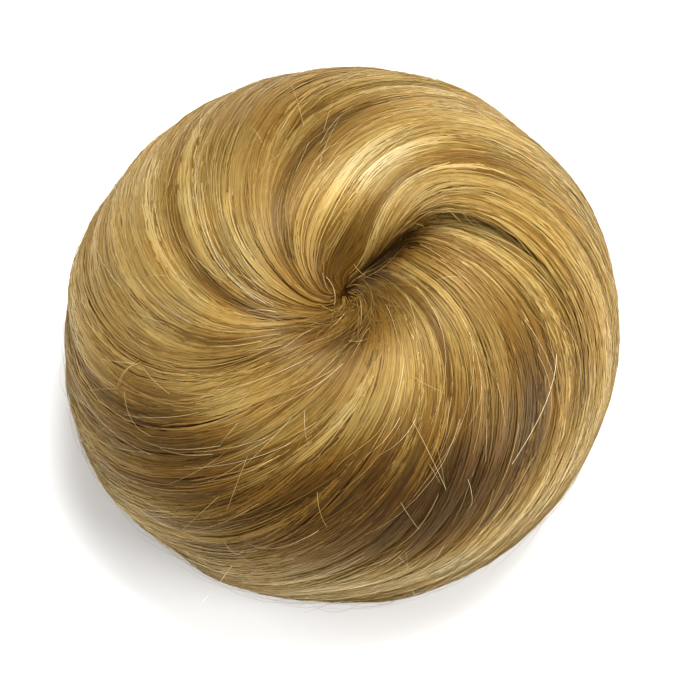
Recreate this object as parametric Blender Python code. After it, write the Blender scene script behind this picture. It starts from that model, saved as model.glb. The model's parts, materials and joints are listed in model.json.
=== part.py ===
"""Top knot hairpiece: hair wound clockwise out of a central whirl, over a hollow cap.

Lengths are in metres, and +Z is up. The origin is on the surface that the piece rests on,
under the middle of the resting ring, and -Y is the side that the photograph sees lowest.
"""

import math
import random
from typing import NamedTuple

import bmesh
import bpy

FULL_TURN = 2.0 * math.pi
QUARTER_TURN = 0.5 * math.pi

# The hair's outer form
BUN_RADIUS = 0.0590
BUN_HEIGHT = 0.0640
WAIST_HEIGHT = 0.0250
SHOULDER_FULLNESS = 2.25
SKIRT_FULLNESS = 2.20
WHIRL_DEPTH = 0.0100
WHIRL_RADIUS = 0.0125

# The lay of the hair: its angle to the meridian, in degrees. A hair is named by its bearing where
# it is MID_TRAVEL of the way from the whirl to the waist.
LAY_AT_WHIRL = 34.0
LAY_AT_WAIST = 61.0
MID_TRAVEL = 0.45

# The locks: rises are shares of a lock's own width, and LOCK_ARCH is its cross-section
LOCK_COUNT = 28
LOCK_ROUNDNESS = 0.115
LOCK_STAGGER = 0.06
LOCK_WIDTH_SPREAD = 0.30
LOCK_SEED = 11
LOCK_ARCH = (0.0, 0.78, 1.0, 0.78)
FOLD_DEPTH = 0.0060

# The mouth underneath and its elastic edge
MOUTH_RADIUS = 0.0310
BAND_THICKNESS = 0.0030
BAND_HEIGHT = 0.0065
BAND_ROUNDING = 0.0009
SEWN_GAP = 0.0003

# The flat ring of hair that the piece rests on, round the elastic edge
RING_WIDTH = 0.0097
RING_INNER_RADIUS = MOUTH_RADIUS + BAND_THICKNESS + SEWN_GAP
RING_RADIUS = RING_INNER_RADIUS + RING_WIDTH

# The cap that carries the hair, from its hem on the elastic edge up to its crown
CAP_WALL = 0.0012
CAP_BULGE = 0.0035
CAP_BULGE_HEIGHT = 0.0160
HAIR_OVER_CROWN = 0.0140
CAP_CROWN_HEIGHT = BUN_HEIGHT - WHIRL_DEPTH - HAIR_OVER_CROWN

# The two plain combs that are sewn inside the elastic edge
COMB_WIDTH = 0.0300
COMB_THICKNESS = 0.0014
COMB_FOOT = 0.0008
COMB_SPINE_HEIGHT = 0.0045
COMB_TOOTH_COUNT = 9
COMB_TOOTH_WIDTH = 0.0018
COMB_TOOTH_LENGTH = 0.0160
COMB_TIP_SHARE = 0.45

# Facets
DOME_ROWS = 19
SKIRT_ROWS = 8
BULGE_ROWS = 2
CROWN_ROWS = 5
CAP_SIDES = 32
BAND_SIDES = 48
WINDING_STEPS = 8


class Sway(NamedTuple):
    """A stretch where the hair lies steeper or flatter across the meridian than elsewhere.

    bearing, width and change are in degrees. travel, its middle, and length are shares of the way
    from whirl to waist.
    """

    bearing: float
    width: float
    travel: float
    length: float
    change: float


SWAYS = (
    Sway(bearing=42, width=16, travel=0.13, length=0.16, change=-28),
    Sway(bearing=64, width=24, travel=0.25, length=0.28, change=-13),
    Sway(bearing=8, width=20, travel=0.25, length=0.25, change=8),
    Sway(bearing=112, width=28, travel=0.12, length=0.20, change=14),
    Sway(bearing=170, width=35, travel=0.38, length=0.30, change=9),
    Sway(bearing=225, width=22, travel=0.35, length=0.35, change=-13),
    Sway(bearing=270, width=40, travel=0.65, length=0.22, change=-9),
    Sway(bearing=335, width=25, travel=0.70, length=0.20, change=5),
)


class Fold(NamedTuple):
    """A crease that follows the lay of the hair, steep on its anticlockwise side.

    angle names the hair that it follows, and the two sides are its widths, all in degrees. depth
    and lip are shares of FOLD_DEPTH. starts, deepest and ends are shares of the way from whirl to
    waist.
    """

    angle: float
    steep: float
    gentle: float
    depth: float
    lip: float
    starts: float
    deepest: float
    ends: float


FOLDS = (
    Fold(angle=18, steep=9, gentle=30, depth=1.00, lip=0.38, starts=0.00, deepest=0.17, ends=0.66),
    Fold(angle=98, steep=14, gentle=20, depth=0.45, lip=0.12, starts=0.05, deepest=0.40, ends=0.95),
    Fold(angle=156, steep=14, gentle=18, depth=0.38, lip=0.10, starts=0.08, deepest=0.27, ends=0.70),
    Fold(angle=248, steep=12, gentle=16, depth=0.34, lip=0.05, starts=0.35, deepest=0.63, ends=1.05),
    Fold(angle=316, steep=14, gentle=20, depth=0.40, lip=0.05, starts=0.30, deepest=0.62, ends=1.05),
)


class Bearing(NamedTuple):
    """How far the outline reaches at one bearing seen from above, as a share of BUN_RADIUS."""

    degrees: float
    reach: float


OUTLINE = (
    Bearing(0, 1.000),
    Bearing(30, 1.010),
    Bearing(60, 0.998),
    Bearing(90, 0.967),
    Bearing(120, 0.985),
    Bearing(150, 0.997),
    Bearing(180, 1.004),
    Bearing(210, 1.026),
    Bearing(240, 0.998),
    Bearing(270, 0.953),
    Bearing(300, 0.972),
    Bearing(330, 0.984),
)


class Station(NamedTuple):
    """One ring of the hair's surface: its mean place and facing, and its share of the way."""

    radius: float
    height: float
    facing_out: float
    facing_up: float
    travel: float


class Strip(NamedTuple):
    """One line of the hair's surface, which follows the hair of an angle in radians."""

    angle: float
    lock_width: float
    arch: float
    stagger: float


def eased(low, high, value):
    """A smooth step from 0 at low to 1 at high."""
    share = min(1.0, max(0.0, (value - low) / (high - low)))
    return share * share * (3.0 - 2.0 * share)


def outline_reach(bearing):
    """The outline's share at a bearing in radians, eased between the rows of OUTLINE."""
    place = (bearing % FULL_TURN) / FULL_TURN * len(OUTLINE)
    index = int(place) % len(OUTLINE)
    first = OUTLINE[index].reach
    second = OUTLINE[(index + 1) % len(OUTLINE)].reach
    return first + (second - first) * eased(0.0, 1.0, place - int(place))


def whirl_dent(radius):
    """How far the whirl pulls the top down at a radius."""
    return WHIRL_DEPTH * math.exp(-((radius / WHIRL_RADIUS) ** 2))


def dome_section():
    """(radius, height) from just outside the whirl's middle to the waist."""
    section = []
    for row in range(1, DOME_ROWS + 1):
        turn = QUARTER_TURN * (row / DOME_ROWS) ** 1.25
        radius = BUN_RADIUS * math.sin(turn) ** (2.0 / SHOULDER_FULLNESS)
        rise = (BUN_HEIGHT - WAIST_HEIGHT) * abs(math.cos(turn)) ** (2.0 / SHOULDER_FULLNESS)
        section.append((radius, WAIST_HEIGHT + rise - whirl_dent(radius)))
    return section


def skirt_section():
    """(radius, height) from under the waist in to the resting ring's outer edge."""
    section = []
    for row in range(1, SKIRT_ROWS + 1):
        turn = QUARTER_TURN * row / SKIRT_ROWS
        out = abs(math.cos(turn)) ** (2.0 / SKIRT_FULLNESS)
        drop = math.sin(turn) ** (2.0 / SKIRT_FULLNESS)
        section.append((RING_RADIUS + (BUN_RADIUS - RING_RADIUS) * out, WAIST_HEIGHT * (1.0 - drop)))
    return section


def hollow_section(offset):
    """(radius, height) of a wall at an offset outside the cap's outer face, from hem to crown."""
    hem_radius = MOUTH_RADIUS + BAND_THICKNESS + offset
    hem_height = BAND_HEIGHT + SEWN_GAP
    section = []
    for row in range(BULGE_ROWS + 1):
        share = row / BULGE_ROWS
        bulge = CAP_BULGE * math.sin(QUARTER_TURN * share)
        section.append((hem_radius + bulge, hem_height + (CAP_BULGE_HEIGHT - hem_height) * share))
    for row in range(1, CROWN_ROWS + 1):
        turn = QUARTER_TURN * row / CROWN_ROWS
        rise = (CAP_CROWN_HEIGHT - CAP_BULGE_HEIGHT + offset) * math.sin(turn)
        section.append(((hem_radius + CAP_BULGE) * math.cos(turn), CAP_BULGE_HEIGHT + rise))
    return section


def hair_stations():
    """The rings of the hair's outer surface, from the whirl to the resting ring's outer edge."""
    section = dome_section() + skirt_section()
    steps = [math.dist(section[i], section[i + 1]) for i in range(len(section) - 1)]
    dome_length = sum(steps[: DOME_ROWS - 1])
    stations = []
    travelled = 0.0
    for index, (radius, height) in enumerate(section):
        before = section[max(0, index - 1)]
        after = section[min(len(section) - 1, index + 1)]
        along = math.dist(before, after)
        stations.append(
            Station(
                radius=radius,
                height=height,
                facing_out=(before[1] - after[1]) / along,
                facing_up=(after[0] - before[0]) / along,
                travel=travelled / dome_length,
            )
        )
        if index < len(steps):
            travelled += steps[index]
    return stations


def hair_lay(bearing, travel):
    """The hair's angle to the meridian, in radians."""
    degrees = LAY_AT_WHIRL + (LAY_AT_WAIST - LAY_AT_WHIRL) * eased(0.10, 0.95, travel)
    for sway in SWAYS:
        apart = (math.degrees(bearing) - sway.bearing + 180.0) % 360.0 - 180.0
        along = (travel - sway.travel) / sway.length
        degrees += sway.change * math.exp(-((apart / sway.width) ** 2) - along**2)
    return math.radians(degrees)


def bearing_after(bearing, here, there):
    """Follows a hair from its bearing at one station to the next, out or in."""
    length = math.dist((here.radius, here.height), (there.radius, there.height)) / WINDING_STEPS
    way = math.copysign(1.0, there.travel - here.travel)
    for step in range(WINDING_STEPS):
        share = (step + 0.5) / WINDING_STEPS
        radius = here.radius + (there.radius - here.radius) * share
        travel = here.travel + (there.travel - here.travel) * share
        bearing -= way * math.tan(hair_lay(bearing, travel)) * length / radius
    return bearing


def winding(angle, stations):
    """The bearing at each station of the hair of an angle, followed both ways from MID_TRAVEL."""
    outside = next(i for i, station in enumerate(stations) if station.travel > MID_TRAVEL)
    here, there = stations[outside - 1], stations[outside]
    share = (MID_TRAVEL - here.travel) / (there.travel - here.travel)
    middle = Station(*(low + (high - low) * share for low, high in zip(here, there)))
    outward, inward = [angle], [angle]
    for before, after in zip([middle, *stations[outside:]], stations[outside:]):
        outward.append(bearing_after(outward[-1], before, after))
    within = stations[:outside][::-1]
    for before, after in zip([middle, *within], within):
        inward.append(bearing_after(inward[-1], before, after))
    return inward[:0:-1] + outward[1:]


def hair_strips():
    """The lines of the hair's surface, several to a lock, with locks of uneven widths."""
    chance = random.Random(LOCK_SEED)
    widths = [1.0 + LOCK_WIDTH_SPREAD * chance.uniform(-1.0, 1.0) for _ in range(LOCK_COUNT)]
    staggers = [LOCK_STAGGER * chance.uniform(-1.0, 1.0) for _ in range(LOCK_COUNT)]
    scale = FULL_TURN / sum(widths)
    strips = []
    angle = 0.0
    for lock in range(LOCK_COUNT):
        width = widths[lock] * scale
        between = 0.5 * (staggers[lock - 1] + staggers[lock])
        for step, arch in enumerate(LOCK_ARCH):
            strips.append(
                Strip(
                    angle=angle + width * step / len(LOCK_ARCH),
                    lock_width=width,
                    arch=arch,
                    stagger=staggers[lock] if arch else between,
                )
            )
        angle += width
    return strips


def fold_height(bearing, travel, middles):
    """How far all the folds raise the surface at a bearing, given the bearings of their middles."""
    height = 0.0
    for fold, middle in zip(FOLDS, middles):
        apart = (math.degrees(bearing - middle) + 180.0) % 360.0 - 180.0
        side = fold.steep if apart > 0.0 else fold.gentle
        valley = fold.depth * math.exp(-((apart / side) ** 2))
        lip = fold.lip * math.exp(-(((apart - 2.4 * fold.steep) / (1.4 * fold.steep)) ** 2))
        here = eased(fold.starts, fold.deepest, travel) * (1.0 - eased(fold.deepest, fold.ends, travel))
        height += FOLD_DEPTH * here * (lip - valley)
    return height


def hair_point(station, strip, bearing, middles):
    """The place of one corner of the hair's outer surface.

    bearing is the strip's at the station, and middles are the bearings of the folds' middles.
    """
    off_floor = eased(0.0, 0.6, station.height / WAIST_HEIGHT)
    width = strip.lock_width * station.radius * math.cos(hair_lay(bearing, station.travel))
    rise = width * (LOCK_ROUNDNESS * strip.arch + strip.stagger)
    rise += fold_height(bearing, station.travel, middles)
    rise *= off_floor
    below_waist = eased(0.0, 1.0, station.height / WAIST_HEIGHT)
    stretch = 1.0 + (outline_reach(bearing) - 1.0) * eased(0.3, 1.0, station.travel) * below_waist
    radius = station.radius * stretch + rise * station.facing_out
    return (
        radius * math.cos(bearing),
        radius * math.sin(bearing),
        station.height + rise * station.facing_up,
    )


def ring_points(radius, height, bearings):
    """A level ring of points at the given bearings."""
    return [(radius * math.cos(b), radius * math.sin(b), height) for b in bearings]


def closed_bowl(name, rows, first_pole, last_pole):
    """An object whose surface runs from one pole through rows of points to another.

    Every row has the same number of points. Both poles are on the axis, so the surface closes
    like a thick bowl: rows that go out and come back leave a wall between them.
    """
    mesh = bmesh.new()
    first = mesh.verts.new(first_pole)
    rings = [[mesh.verts.new(point) for point in row] for row in rows]
    last = mesh.verts.new(last_pole)
    count = len(rings[0])
    for index in range(count):
        following = (index + 1) % count
        mesh.faces.new((first, rings[0][index], rings[0][following]))
        for ring, next_ring in zip(rings, rings[1:]):
            mesh.faces.new((ring[index], next_ring[index], next_ring[following], ring[following]))
        mesh.faces.new((last, rings[-1][following], rings[-1][index]))
    return object_from(name, mesh)


def object_from(name, mesh):
    """A linked object with a bmesh's faces, their normals made to point out."""
    bmesh.ops.recalc_face_normals(mesh, faces=mesh.faces)
    data = bpy.data.meshes.new(name)
    mesh.to_mesh(data)
    mesh.free()
    made = bpy.data.objects.new(name, data)
    bpy.context.scene.collection.objects.link(made)
    return made


def finish_with(made, colour, roughness, crease=50.0):
    """Shades an object smooth, but for edges over crease degrees, and gives it a plain material."""
    made.data.shade_smooth()
    made.data.set_sharp_from_angle(angle=math.radians(crease))
    material = bpy.data.materials.new(made.name)
    material.use_nodes = True
    shader = material.node_tree.nodes["Principled BSDF"]
    shader.inputs["Base Color"].default_value = (*colour, 1.0)
    shader.inputs["Roughness"].default_value = roughness
    shader.inputs["Metallic"].default_value = 0.0
    made.data.materials.append(material)


def build_hair():
    """The wound hair: locks and folds outside, a flat resting ring and a hollow underneath."""
    stations = hair_stations()
    strips = hair_strips()
    windings = [winding(strip.angle, stations) for strip in strips]
    fold_windings = [winding(math.radians(fold.angle), stations) for fold in FOLDS]
    rows = []
    for index, station in enumerate(stations):
        middles = [along[index] for along in fold_windings]
        rows.append(
            [hair_point(station, strip, along[index], middles) for strip, along in zip(strips, windings)]
        )
    bearings = [along[-1] for along in windings]
    rows.append(ring_points(RING_INNER_RADIUS, 0.0, bearings))
    hollow = hollow_section(SEWN_GAP)
    for radius, height in hollow[:-1]:
        rows.append(ring_points(radius, height, bearings))
    whirl_top = BUN_HEIGHT - WHIRL_DEPTH
    hair = closed_bowl("hair_swirl", rows, (0.0, 0.0, whirl_top), (0.0, 0.0, hollow[-1][1]))
    finish_with(hair, colour=(0.44, 0.28, 0.10), roughness=0.42, crease=85.0)


def build_cap():
    """The thin cap that the hair is sewn to, open at the mouth."""
    bearings = [FULL_TURN * side / CAP_SIDES for side in range(CAP_SIDES)]
    outer = hollow_section(0.0)
    inner = hollow_section(-CAP_WALL)
    rows = [ring_points(radius, height, bearings) for radius, height in reversed(outer[:-1])]
    rows += [ring_points(radius, height, bearings) for radius, height in inner[:-1]]
    cap = closed_bowl("base_cap", rows, (0.0, 0.0, outer[-1][1]), (0.0, 0.0, inner[-1][1]))
    finish_with(cap, colour=(0.30, 0.20, 0.10), roughness=0.85)


def build_band():
    """The elastic edge round the mouth, a flat ring with rounded edges."""
    low, high = BAND_ROUNDING, BAND_HEIGHT - BAND_ROUNDING
    near, far = MOUTH_RADIUS, MOUTH_RADIUS + BAND_THICKNESS
    section = (
        (near + BAND_ROUNDING, 0.0),
        (far - BAND_ROUNDING, 0.0),
        (far, low),
        (far, high),
        (far - BAND_ROUNDING, BAND_HEIGHT),
        (near + BAND_ROUNDING, BAND_HEIGHT),
        (near, high),
        (near, low),
    )
    mesh = bmesh.new()
    corners = [mesh.verts.new((radius, 0.0, height)) for radius, height in section]
    edges = [mesh.edges.new((corners[i - 1], corners[i])) for i in range(len(corners))]
    bmesh.ops.spin(
        mesh,
        geom=edges,
        cent=(0.0, 0.0, 0.0),
        axis=(0.0, 0.0, 1.0),
        angle=FULL_TURN,
        steps=BAND_SIDES,
        use_merge=True,
    )
    band = object_from("elastic_band", mesh)
    finish_with(band, colour=(0.26, 0.17, 0.08), roughness=0.80)


def comb_columns():
    """(low angle, high angle, has a tooth) of each column of a comb, about its middle."""
    radius = MOUTH_RADIUS - SEWN_GAP
    tooth = COMB_TOOTH_WIDTH / radius
    pitch = (COMB_WIDTH - COMB_TOOTH_WIDTH) / (COMB_TOOTH_COUNT - 1) / radius
    start = -0.5 * COMB_WIDTH / radius
    columns = []
    for index in range(COMB_TOOTH_COUNT):
        low = start + index * pitch
        columns.append((low, low + tooth, True))
        if index < COMB_TOOTH_COUNT - 1:
            columns.append((low + tooth, low + pitch, False))
    return columns


def build_comb(name, bearing):
    """A plain curved comb against the inside of the elastic edge, teeth up, in one solid."""
    outer = MOUTH_RADIUS - SEWN_GAP
    spine_top = COMB_FOOT + COMB_SPINE_HEIGHT
    tip_height = spine_top + COMB_TOOTH_LENGTH
    corners = {}
    mesh = bmesh.new()

    def corner(angle, height):
        key = (round(angle, 6), round(height, 6))
        if key not in corners:
            turn = bearing + angle
            corners[key] = mesh.verts.new((outer * math.cos(turn), outer * math.sin(turn), height))
        return corners[key]

    def panel(low, high, bottom, top, narrowing=1.0):
        middle, half = 0.5 * (low + high), 0.5 * (high - low) * narrowing
        foot = (corner(low, bottom), corner(high, bottom))
        return mesh.faces.new((*foot, corner(middle + half, top), corner(middle - half, top)))

    panels = []
    for low, high, has_tooth in comb_columns():
        panels.append(panel(low, high, COMB_FOOT, spine_top))
        if has_tooth:
            panels.append(panel(low, high, spine_top, tip_height, COMB_TIP_SHARE))
    inside = bmesh.ops.extrude_face_region(mesh, geom=panels)["geom"]
    shrink = (outer - COMB_THICKNESS) / outer
    for item in inside:
        if isinstance(item, bmesh.types.BMVert):
            item.co.x *= shrink
            item.co.y *= shrink
    comb = object_from(name, mesh)
    finish_with(comb, colour=(0.045, 0.030, 0.018), roughness=0.35)


def main():
    """Clears the scene and builds every piece."""
    for old in list(bpy.data.objects):
        bpy.data.objects.remove(old)
    build_hair()
    build_cap()
    build_band()
    build_comb("comb_front", -QUARTER_TURN)
    build_comb("comb_back", QUARTER_TURN)


main()
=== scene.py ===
"""Looks of the top knot hairpiece: wound blonde hair, its net cap, elastic edge and combs.

Everything is in metres in the frame's own place: +Z up, the origin on the floor under the
middle of the resting ring. The hair is laid in two numbers. An angle says which hair it is, by
its bearing where it is halfway to the waist, and a travel says how far along the surface a place
is: 0 at the whirl, 1 at the waist.
"""

import json
import logging
import math
import random
from collections.abc import Callable, Sequence
from dataclasses import dataclass, field
from enum import Enum
from typing import Any

import bpy
import numpy as np
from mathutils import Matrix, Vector
from mathutils.bvhtree import BVHTree

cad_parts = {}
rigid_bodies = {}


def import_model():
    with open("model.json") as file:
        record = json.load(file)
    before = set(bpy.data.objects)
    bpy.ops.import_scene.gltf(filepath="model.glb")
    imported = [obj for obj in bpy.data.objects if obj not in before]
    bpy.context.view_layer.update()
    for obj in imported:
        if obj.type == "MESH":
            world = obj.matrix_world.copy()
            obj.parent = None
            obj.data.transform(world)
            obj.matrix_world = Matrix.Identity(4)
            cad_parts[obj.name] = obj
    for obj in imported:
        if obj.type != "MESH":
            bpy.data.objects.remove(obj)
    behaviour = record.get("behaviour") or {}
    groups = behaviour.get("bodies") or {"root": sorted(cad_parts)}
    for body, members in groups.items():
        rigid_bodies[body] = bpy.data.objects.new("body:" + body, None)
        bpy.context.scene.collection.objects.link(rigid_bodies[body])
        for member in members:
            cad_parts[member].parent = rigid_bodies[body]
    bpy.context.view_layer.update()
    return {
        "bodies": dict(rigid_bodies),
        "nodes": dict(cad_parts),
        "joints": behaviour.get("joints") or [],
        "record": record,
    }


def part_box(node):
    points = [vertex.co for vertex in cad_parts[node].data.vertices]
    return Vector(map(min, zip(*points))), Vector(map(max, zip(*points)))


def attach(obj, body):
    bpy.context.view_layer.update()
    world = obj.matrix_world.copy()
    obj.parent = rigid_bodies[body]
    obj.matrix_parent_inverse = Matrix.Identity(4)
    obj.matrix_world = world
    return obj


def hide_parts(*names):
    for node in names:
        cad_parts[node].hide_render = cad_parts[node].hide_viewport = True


LOG = logging.getLogger("hairpiece")

Array = np.ndarray
Colour = tuple[float, float, float]
Pixel = tuple[float, float]

MM = 0.001
FULL_TURN = 2.0 * math.pi
QUARTER_TURN = 0.5 * math.pi
ROOT = "root"

# The most triangles of one piece of strands, and how far a strand is rolled off flat
MOST_TRIANGLES = 190_000
STRAND_ROLL = math.radians(5.0)

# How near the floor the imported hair, the strands and the short hairs may come
BODY_CLEARANCE = 0.15 * MM
STRAND_CLEARANCE = 0.14 * MM
FUZZ_CLEARANCE = 0.20 * MM


class Slot(Enum):
    """The record's material slots."""

    HAIR = "hair"
    CAP_NET = "cap_net"
    ELASTIC = "elastic"
    COMB = "comb_plastic"


def eased(low: float, high: float, value: Array | float) -> Array:
    """A smooth step.

    Args:
        low: Where the step leaves 0.
        high: Where the step reaches 1.
        value: The places to work it out for.

    Returns:
        The step's height at each place.
    """
    share = np.clip((np.asarray(value, float) - low) / (high - low), 0.0, 1.0)
    return share * share * (3.0 - 2.0 * share)


def bell(across: Array, along: Array | float = 0.0) -> Array:
    """A smooth hump that is 1 where both numbers are 0 and fades over about 1."""
    return np.exp(-(across**2) - along**2)


def wrapped(degrees: Array) -> Array:
    """The same angles between -180 and 180 degrees."""
    return np.mod(degrees + 180.0, 360.0) - 180.0


def evenly_round(count: int) -> Array:
    """So many bearings, evenly spaced from 0, in radians."""
    return np.arange(count) / count * FULL_TURN


def keep_above(points: Array, least: float) -> None:
    """Lifts the points that are lower than a height to it."""
    points[..., 2] = np.maximum(points[..., 2], least)


def round_axis(radius: Array | float, bearing: Array, height: Array | float) -> Array:
    """Points from their distances off the upright axis, bearings and heights.

    Args:
        radius: How far from the axis each is.
        bearing: Each bearing in radians.
        height: How high each is.

    Returns:
        The points, with a last axis of three.
    """
    places = np.broadcast_arrays(radius * np.cos(bearing), radius * np.sin(bearing), height)
    return np.stack(places, -1)


def math_operator(operation: str, reflected: bool = False) -> Callable[["Wire", Any], "Wire"]:
    """An operator of Wire that adds a Math node.

    Args:
        operation: The Math node's operation.
        reflected: Whether the wire is the operator's second number.

    Returns:
        The method, which takes a wire or a number and gives the node's result.
    """

    def method(self: "Wire", other: Any) -> "Wire":
        """The node's result for this and other."""
        first, second = (other, self) if reflected else (self, other)
        return self.graph.node("ShaderNodeMath", {"operation": operation}, {0: first, 1: second})

    return method


class Wire:
    """A shader socket that Python's operators turn into Math nodes."""

    def __init__(self, graph: "Graph", socket: bpy.types.NodeSocket) -> None:
        """Wraps a socket of a graph.

        Args:
            graph: The graph.
            socket: The socket.
        """
        self.graph = graph
        self.socket = socket

    __add__ = math_operator("ADD")
    __radd__ = math_operator("ADD", reflected=True)
    __sub__ = math_operator("SUBTRACT")
    __rsub__ = math_operator("SUBTRACT", reflected=True)
    __mul__ = math_operator("MULTIPLY")
    __rmul__ = math_operator("MULTIPLY", reflected=True)


class Graph:
    """The node tree of one material."""

    def __init__(self, name: str) -> None:
        """Makes an empty material with a Principled shader.

        Args:
            name: The material's name.
        """
        self.material = bpy.data.materials.new(name)
        self.material.use_nodes = True
        self.tree = self.material.node_tree
        self.shader = self.tree.nodes["Principled BSDF"]

    def node(
        self, kind: str, settings: dict[str, Any], inputs: dict[Any, Any], output: int | str = 0
    ) -> Wire:
        """Adds one node.

        Args:
            kind: The node's type.
            settings: Its settings, set first. "stops" holds a ramp's places and colours.
            inputs: Values or wires for its sockets, by name or index.
            output: Which of its outputs is returned.

        Returns:
            The output asked for.
        """
        made = self.tree.nodes.new(kind)
        for name, value in settings.items():
            if name == "stops":
                self._set_stops(made.color_ramp, value)
            else:
                setattr(made, name, value)
        for name, value in inputs.items():
            self._feed(made.inputs[name], value)
        return Wire(self, made.outputs[output])

    def _set_stops(self, ramp: bpy.types.ColorRamp, stops: Sequence[tuple[float, Colour]]) -> None:
        """Gives a ramp its places and colours.

        Args:
            ramp: The ramp.
            stops: Its places from 0 to 1, each with a colour.
        """
        while len(ramp.elements) < len(stops):
            ramp.elements.new(1.0)
        for element, (place, colour) in zip(ramp.elements, stops):
            element.position = place
            element.color = (*colour, 1.0)

    def _feed(self, socket: bpy.types.NodeSocket, value: Any) -> None:
        """Links a wire to a socket, or sets the socket's own value.

        Args:
            socket: The socket.
            value: The wire, or the value.
        """
        if isinstance(value, Wire):
            self.tree.links.new(value.socket, socket)
        else:
            socket.default_value = value

    def attribute(self, name: str) -> Wire:
        """The number that a mesh carries at each point under a name."""
        return self.node("ShaderNodeAttribute", {"attribute_name": name}, {}, "Fac")

    def place(self) -> Wire:
        """The place on the object, in metres."""
        return self.node("ShaderNodeTexCoord", {}, {}, "Object")

    def noise(self, scale: float, detail: float = 2.0) -> Wire:
        """Noise from 0 to 1 over the object.

        Args:
            scale: How many features there are to a metre.
            detail: How many finer layers are added.

        Returns:
            The noise.
        """
        inputs = {"Vector": self.place(), "Scale": scale, "Detail": detail, "Roughness": 0.6}
        return self.node("ShaderNodeTexNoise", {}, inputs, "Fac")

    def ramp(self, share: Wire, stops: Sequence[tuple[float, Colour]]) -> Wire:
        """A colour that follows a number through the stops."""
        return self.node("ShaderNodeValToRGB", {"stops": stops}, {"Fac": share}, "Color")

    def bump(self, height: Wire, distance: float, strength: float = 1.0) -> Wire:
        """A normal that follows a height in metres times distance."""
        inputs = {"Height": height, "Distance": distance, "Strength": strength}
        return self.node("ShaderNodeBump", {}, inputs, "Normal")

    def finished(self, **sockets: Any) -> bpy.types.Material:
        """Feeds the shader and hands over the material.

        Args:
            sockets: Wires or values, by socket name with underscores for spaces.

        Returns:
            The material.
        """
        for name, value in sockets.items():
            self._feed(self.shader.inputs[name.replace("_", " ")], value)
        return self.material


# Linear colours from root brown to pale blonde, by tone
HAIR_STOPS = (
    (0.00, (0.030, 0.010, 0.001)),
    (0.25, (0.131, 0.061, 0.007)),
    (0.50, (0.305, 0.197, 0.053)),
    (0.75, (0.480, 0.365, 0.170)),
    (1.00, (0.705, 0.600, 0.395)),
)
ASH_TINT = (0.935, 1.000, 1.150)
WARM_TINT = (1.020, 0.995, 0.930)


@dataclass(frozen=True)
class HairFibre:
    """Synthetic hair, whose strands each carry a tone from root brown to pale blonde.

    tone runs through HAIR_STOPS, and the hue drifts a little from ash to warm. Fine flecks along
    a strand change the tone by fleck_share and the roughness by gloss_share.
    """

    name: str
    fleck_share: float = 0.10
    gloss_share: float = 0.22
    roughness: float = 0.44
    specular: float = 0.25
    sheen: float = 0.28

    def material(self) -> bpy.types.Material:
        """Builds the finish.

        Returns:
            The material.
        """
        graph = Graph(self.name)
        flecks = graph.noise(scale=420.0, detail=3.0)
        drift = graph.ramp(graph.noise(scale=85.0, detail=1.0), ((0.30, ASH_TINT), (0.70, WARM_TINT)))
        tone = graph.attribute("tone") + (flecks - 0.5) * self.fleck_share
        roughness = (flecks - 0.5) * self.gloss_share + self.roughness
        mix = {"data_type": "RGBA", "blend_type": "MULTIPLY"}
        inputs = {"Factor": 1.0, 6: graph.ramp(tone, HAIR_STOPS), 7: drift}
        return graph.finished(
            Base_Color=graph.node("ShaderNodeMix", mix, inputs, 2),
            Roughness=roughness,
            IOR=1.50,
            Specular_IOR_Level=self.specular,
            Sheen_Weight=self.sheen,
            Specular_Tint=(1.0, 0.80, 0.46, 1.0),
            Sheen_Roughness=0.45,
            Sheen_Tint=(0.90, 0.67, 0.30, 1.0),
        )


@dataclass(frozen=True)
class Fabric:
    """Knitted or woven thread: two close colours in fine crossing ribs."""

    name: str
    dark: Colour
    light: Colour
    threads_per_metre: float = 1500.0
    roughness: float = 0.82

    def material(self) -> bpy.types.Material:
        """Builds the finish.

        Returns:
            The material.
        """
        graph = Graph(self.name)
        place = graph.place()
        waves = {"Vector": place, "Scale": self.threads_per_metre / FULL_TURN, "Distortion": 0.6}
        ribs = graph.node("ShaderNodeTexWave", {"bands_direction": "Z"}, waves, "Fac")
        rings = {"wave_type": "RINGS", "rings_direction": "Z"}
        crossing = graph.node("ShaderNodeTexWave", rings, waves, "Fac")
        worn = graph.noise(scale=260.0)
        weave = ribs * 0.5 + crossing * 0.5
        share = weave * 0.7 + worn * 0.3
        return graph.finished(
            Base_Color=graph.ramp(share, ((0.15, self.dark), (0.85, self.light))),
            Roughness=self.roughness + (worn - 0.5) * 0.15,
            Normal=graph.bump(weave, 0.12 * MM),
            Sheen_Weight=0.25,
            Sheen_Roughness=0.5,
        )


@dataclass(frozen=True)
class MouldedPlastic:
    """Moulded plastic with a faint mottle and worn, paler streaks."""

    name: str
    dark: Colour
    light: Colour
    roughness: float = 0.34

    def material(self) -> bpy.types.Material:
        """Builds the finish.

        Returns:
            The material.
        """
        graph = Graph(self.name)
        mottle = graph.noise(scale=180.0, detail=4.0)
        grain = graph.noise(scale=2600.0, detail=2.0)
        return graph.finished(
            Base_Color=graph.ramp(mottle, ((0.30, self.dark), (0.75, self.light))),
            Roughness=self.roughness + (mottle - 0.5) * 0.25,
            Normal=graph.bump(grain, 0.02 * MM, 0.5),
            IOR=1.49,
        )


@dataclass(frozen=True)
class Ground:
    """The plain pale floor."""

    name: str = "pale_floor"
    colour: Colour = (0.84, 0.84, 0.84)
    half_side: float = 3.0

    def build(self) -> None:
        """Lays the floor."""
        side = self.half_side
        corners = [(-side, -side, 0.0), (side, -side, 0.0), (side, side, 0.0), (-side, side, 0.0)]
        floor = make_object(self.name, np.array(corners), [(0, 1, 2, 3)])
        graph = Graph(self.name)
        floor.data.materials.append(graph.finished(Base_Color=(*self.colour, 1.0), Roughness=0.9))


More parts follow.
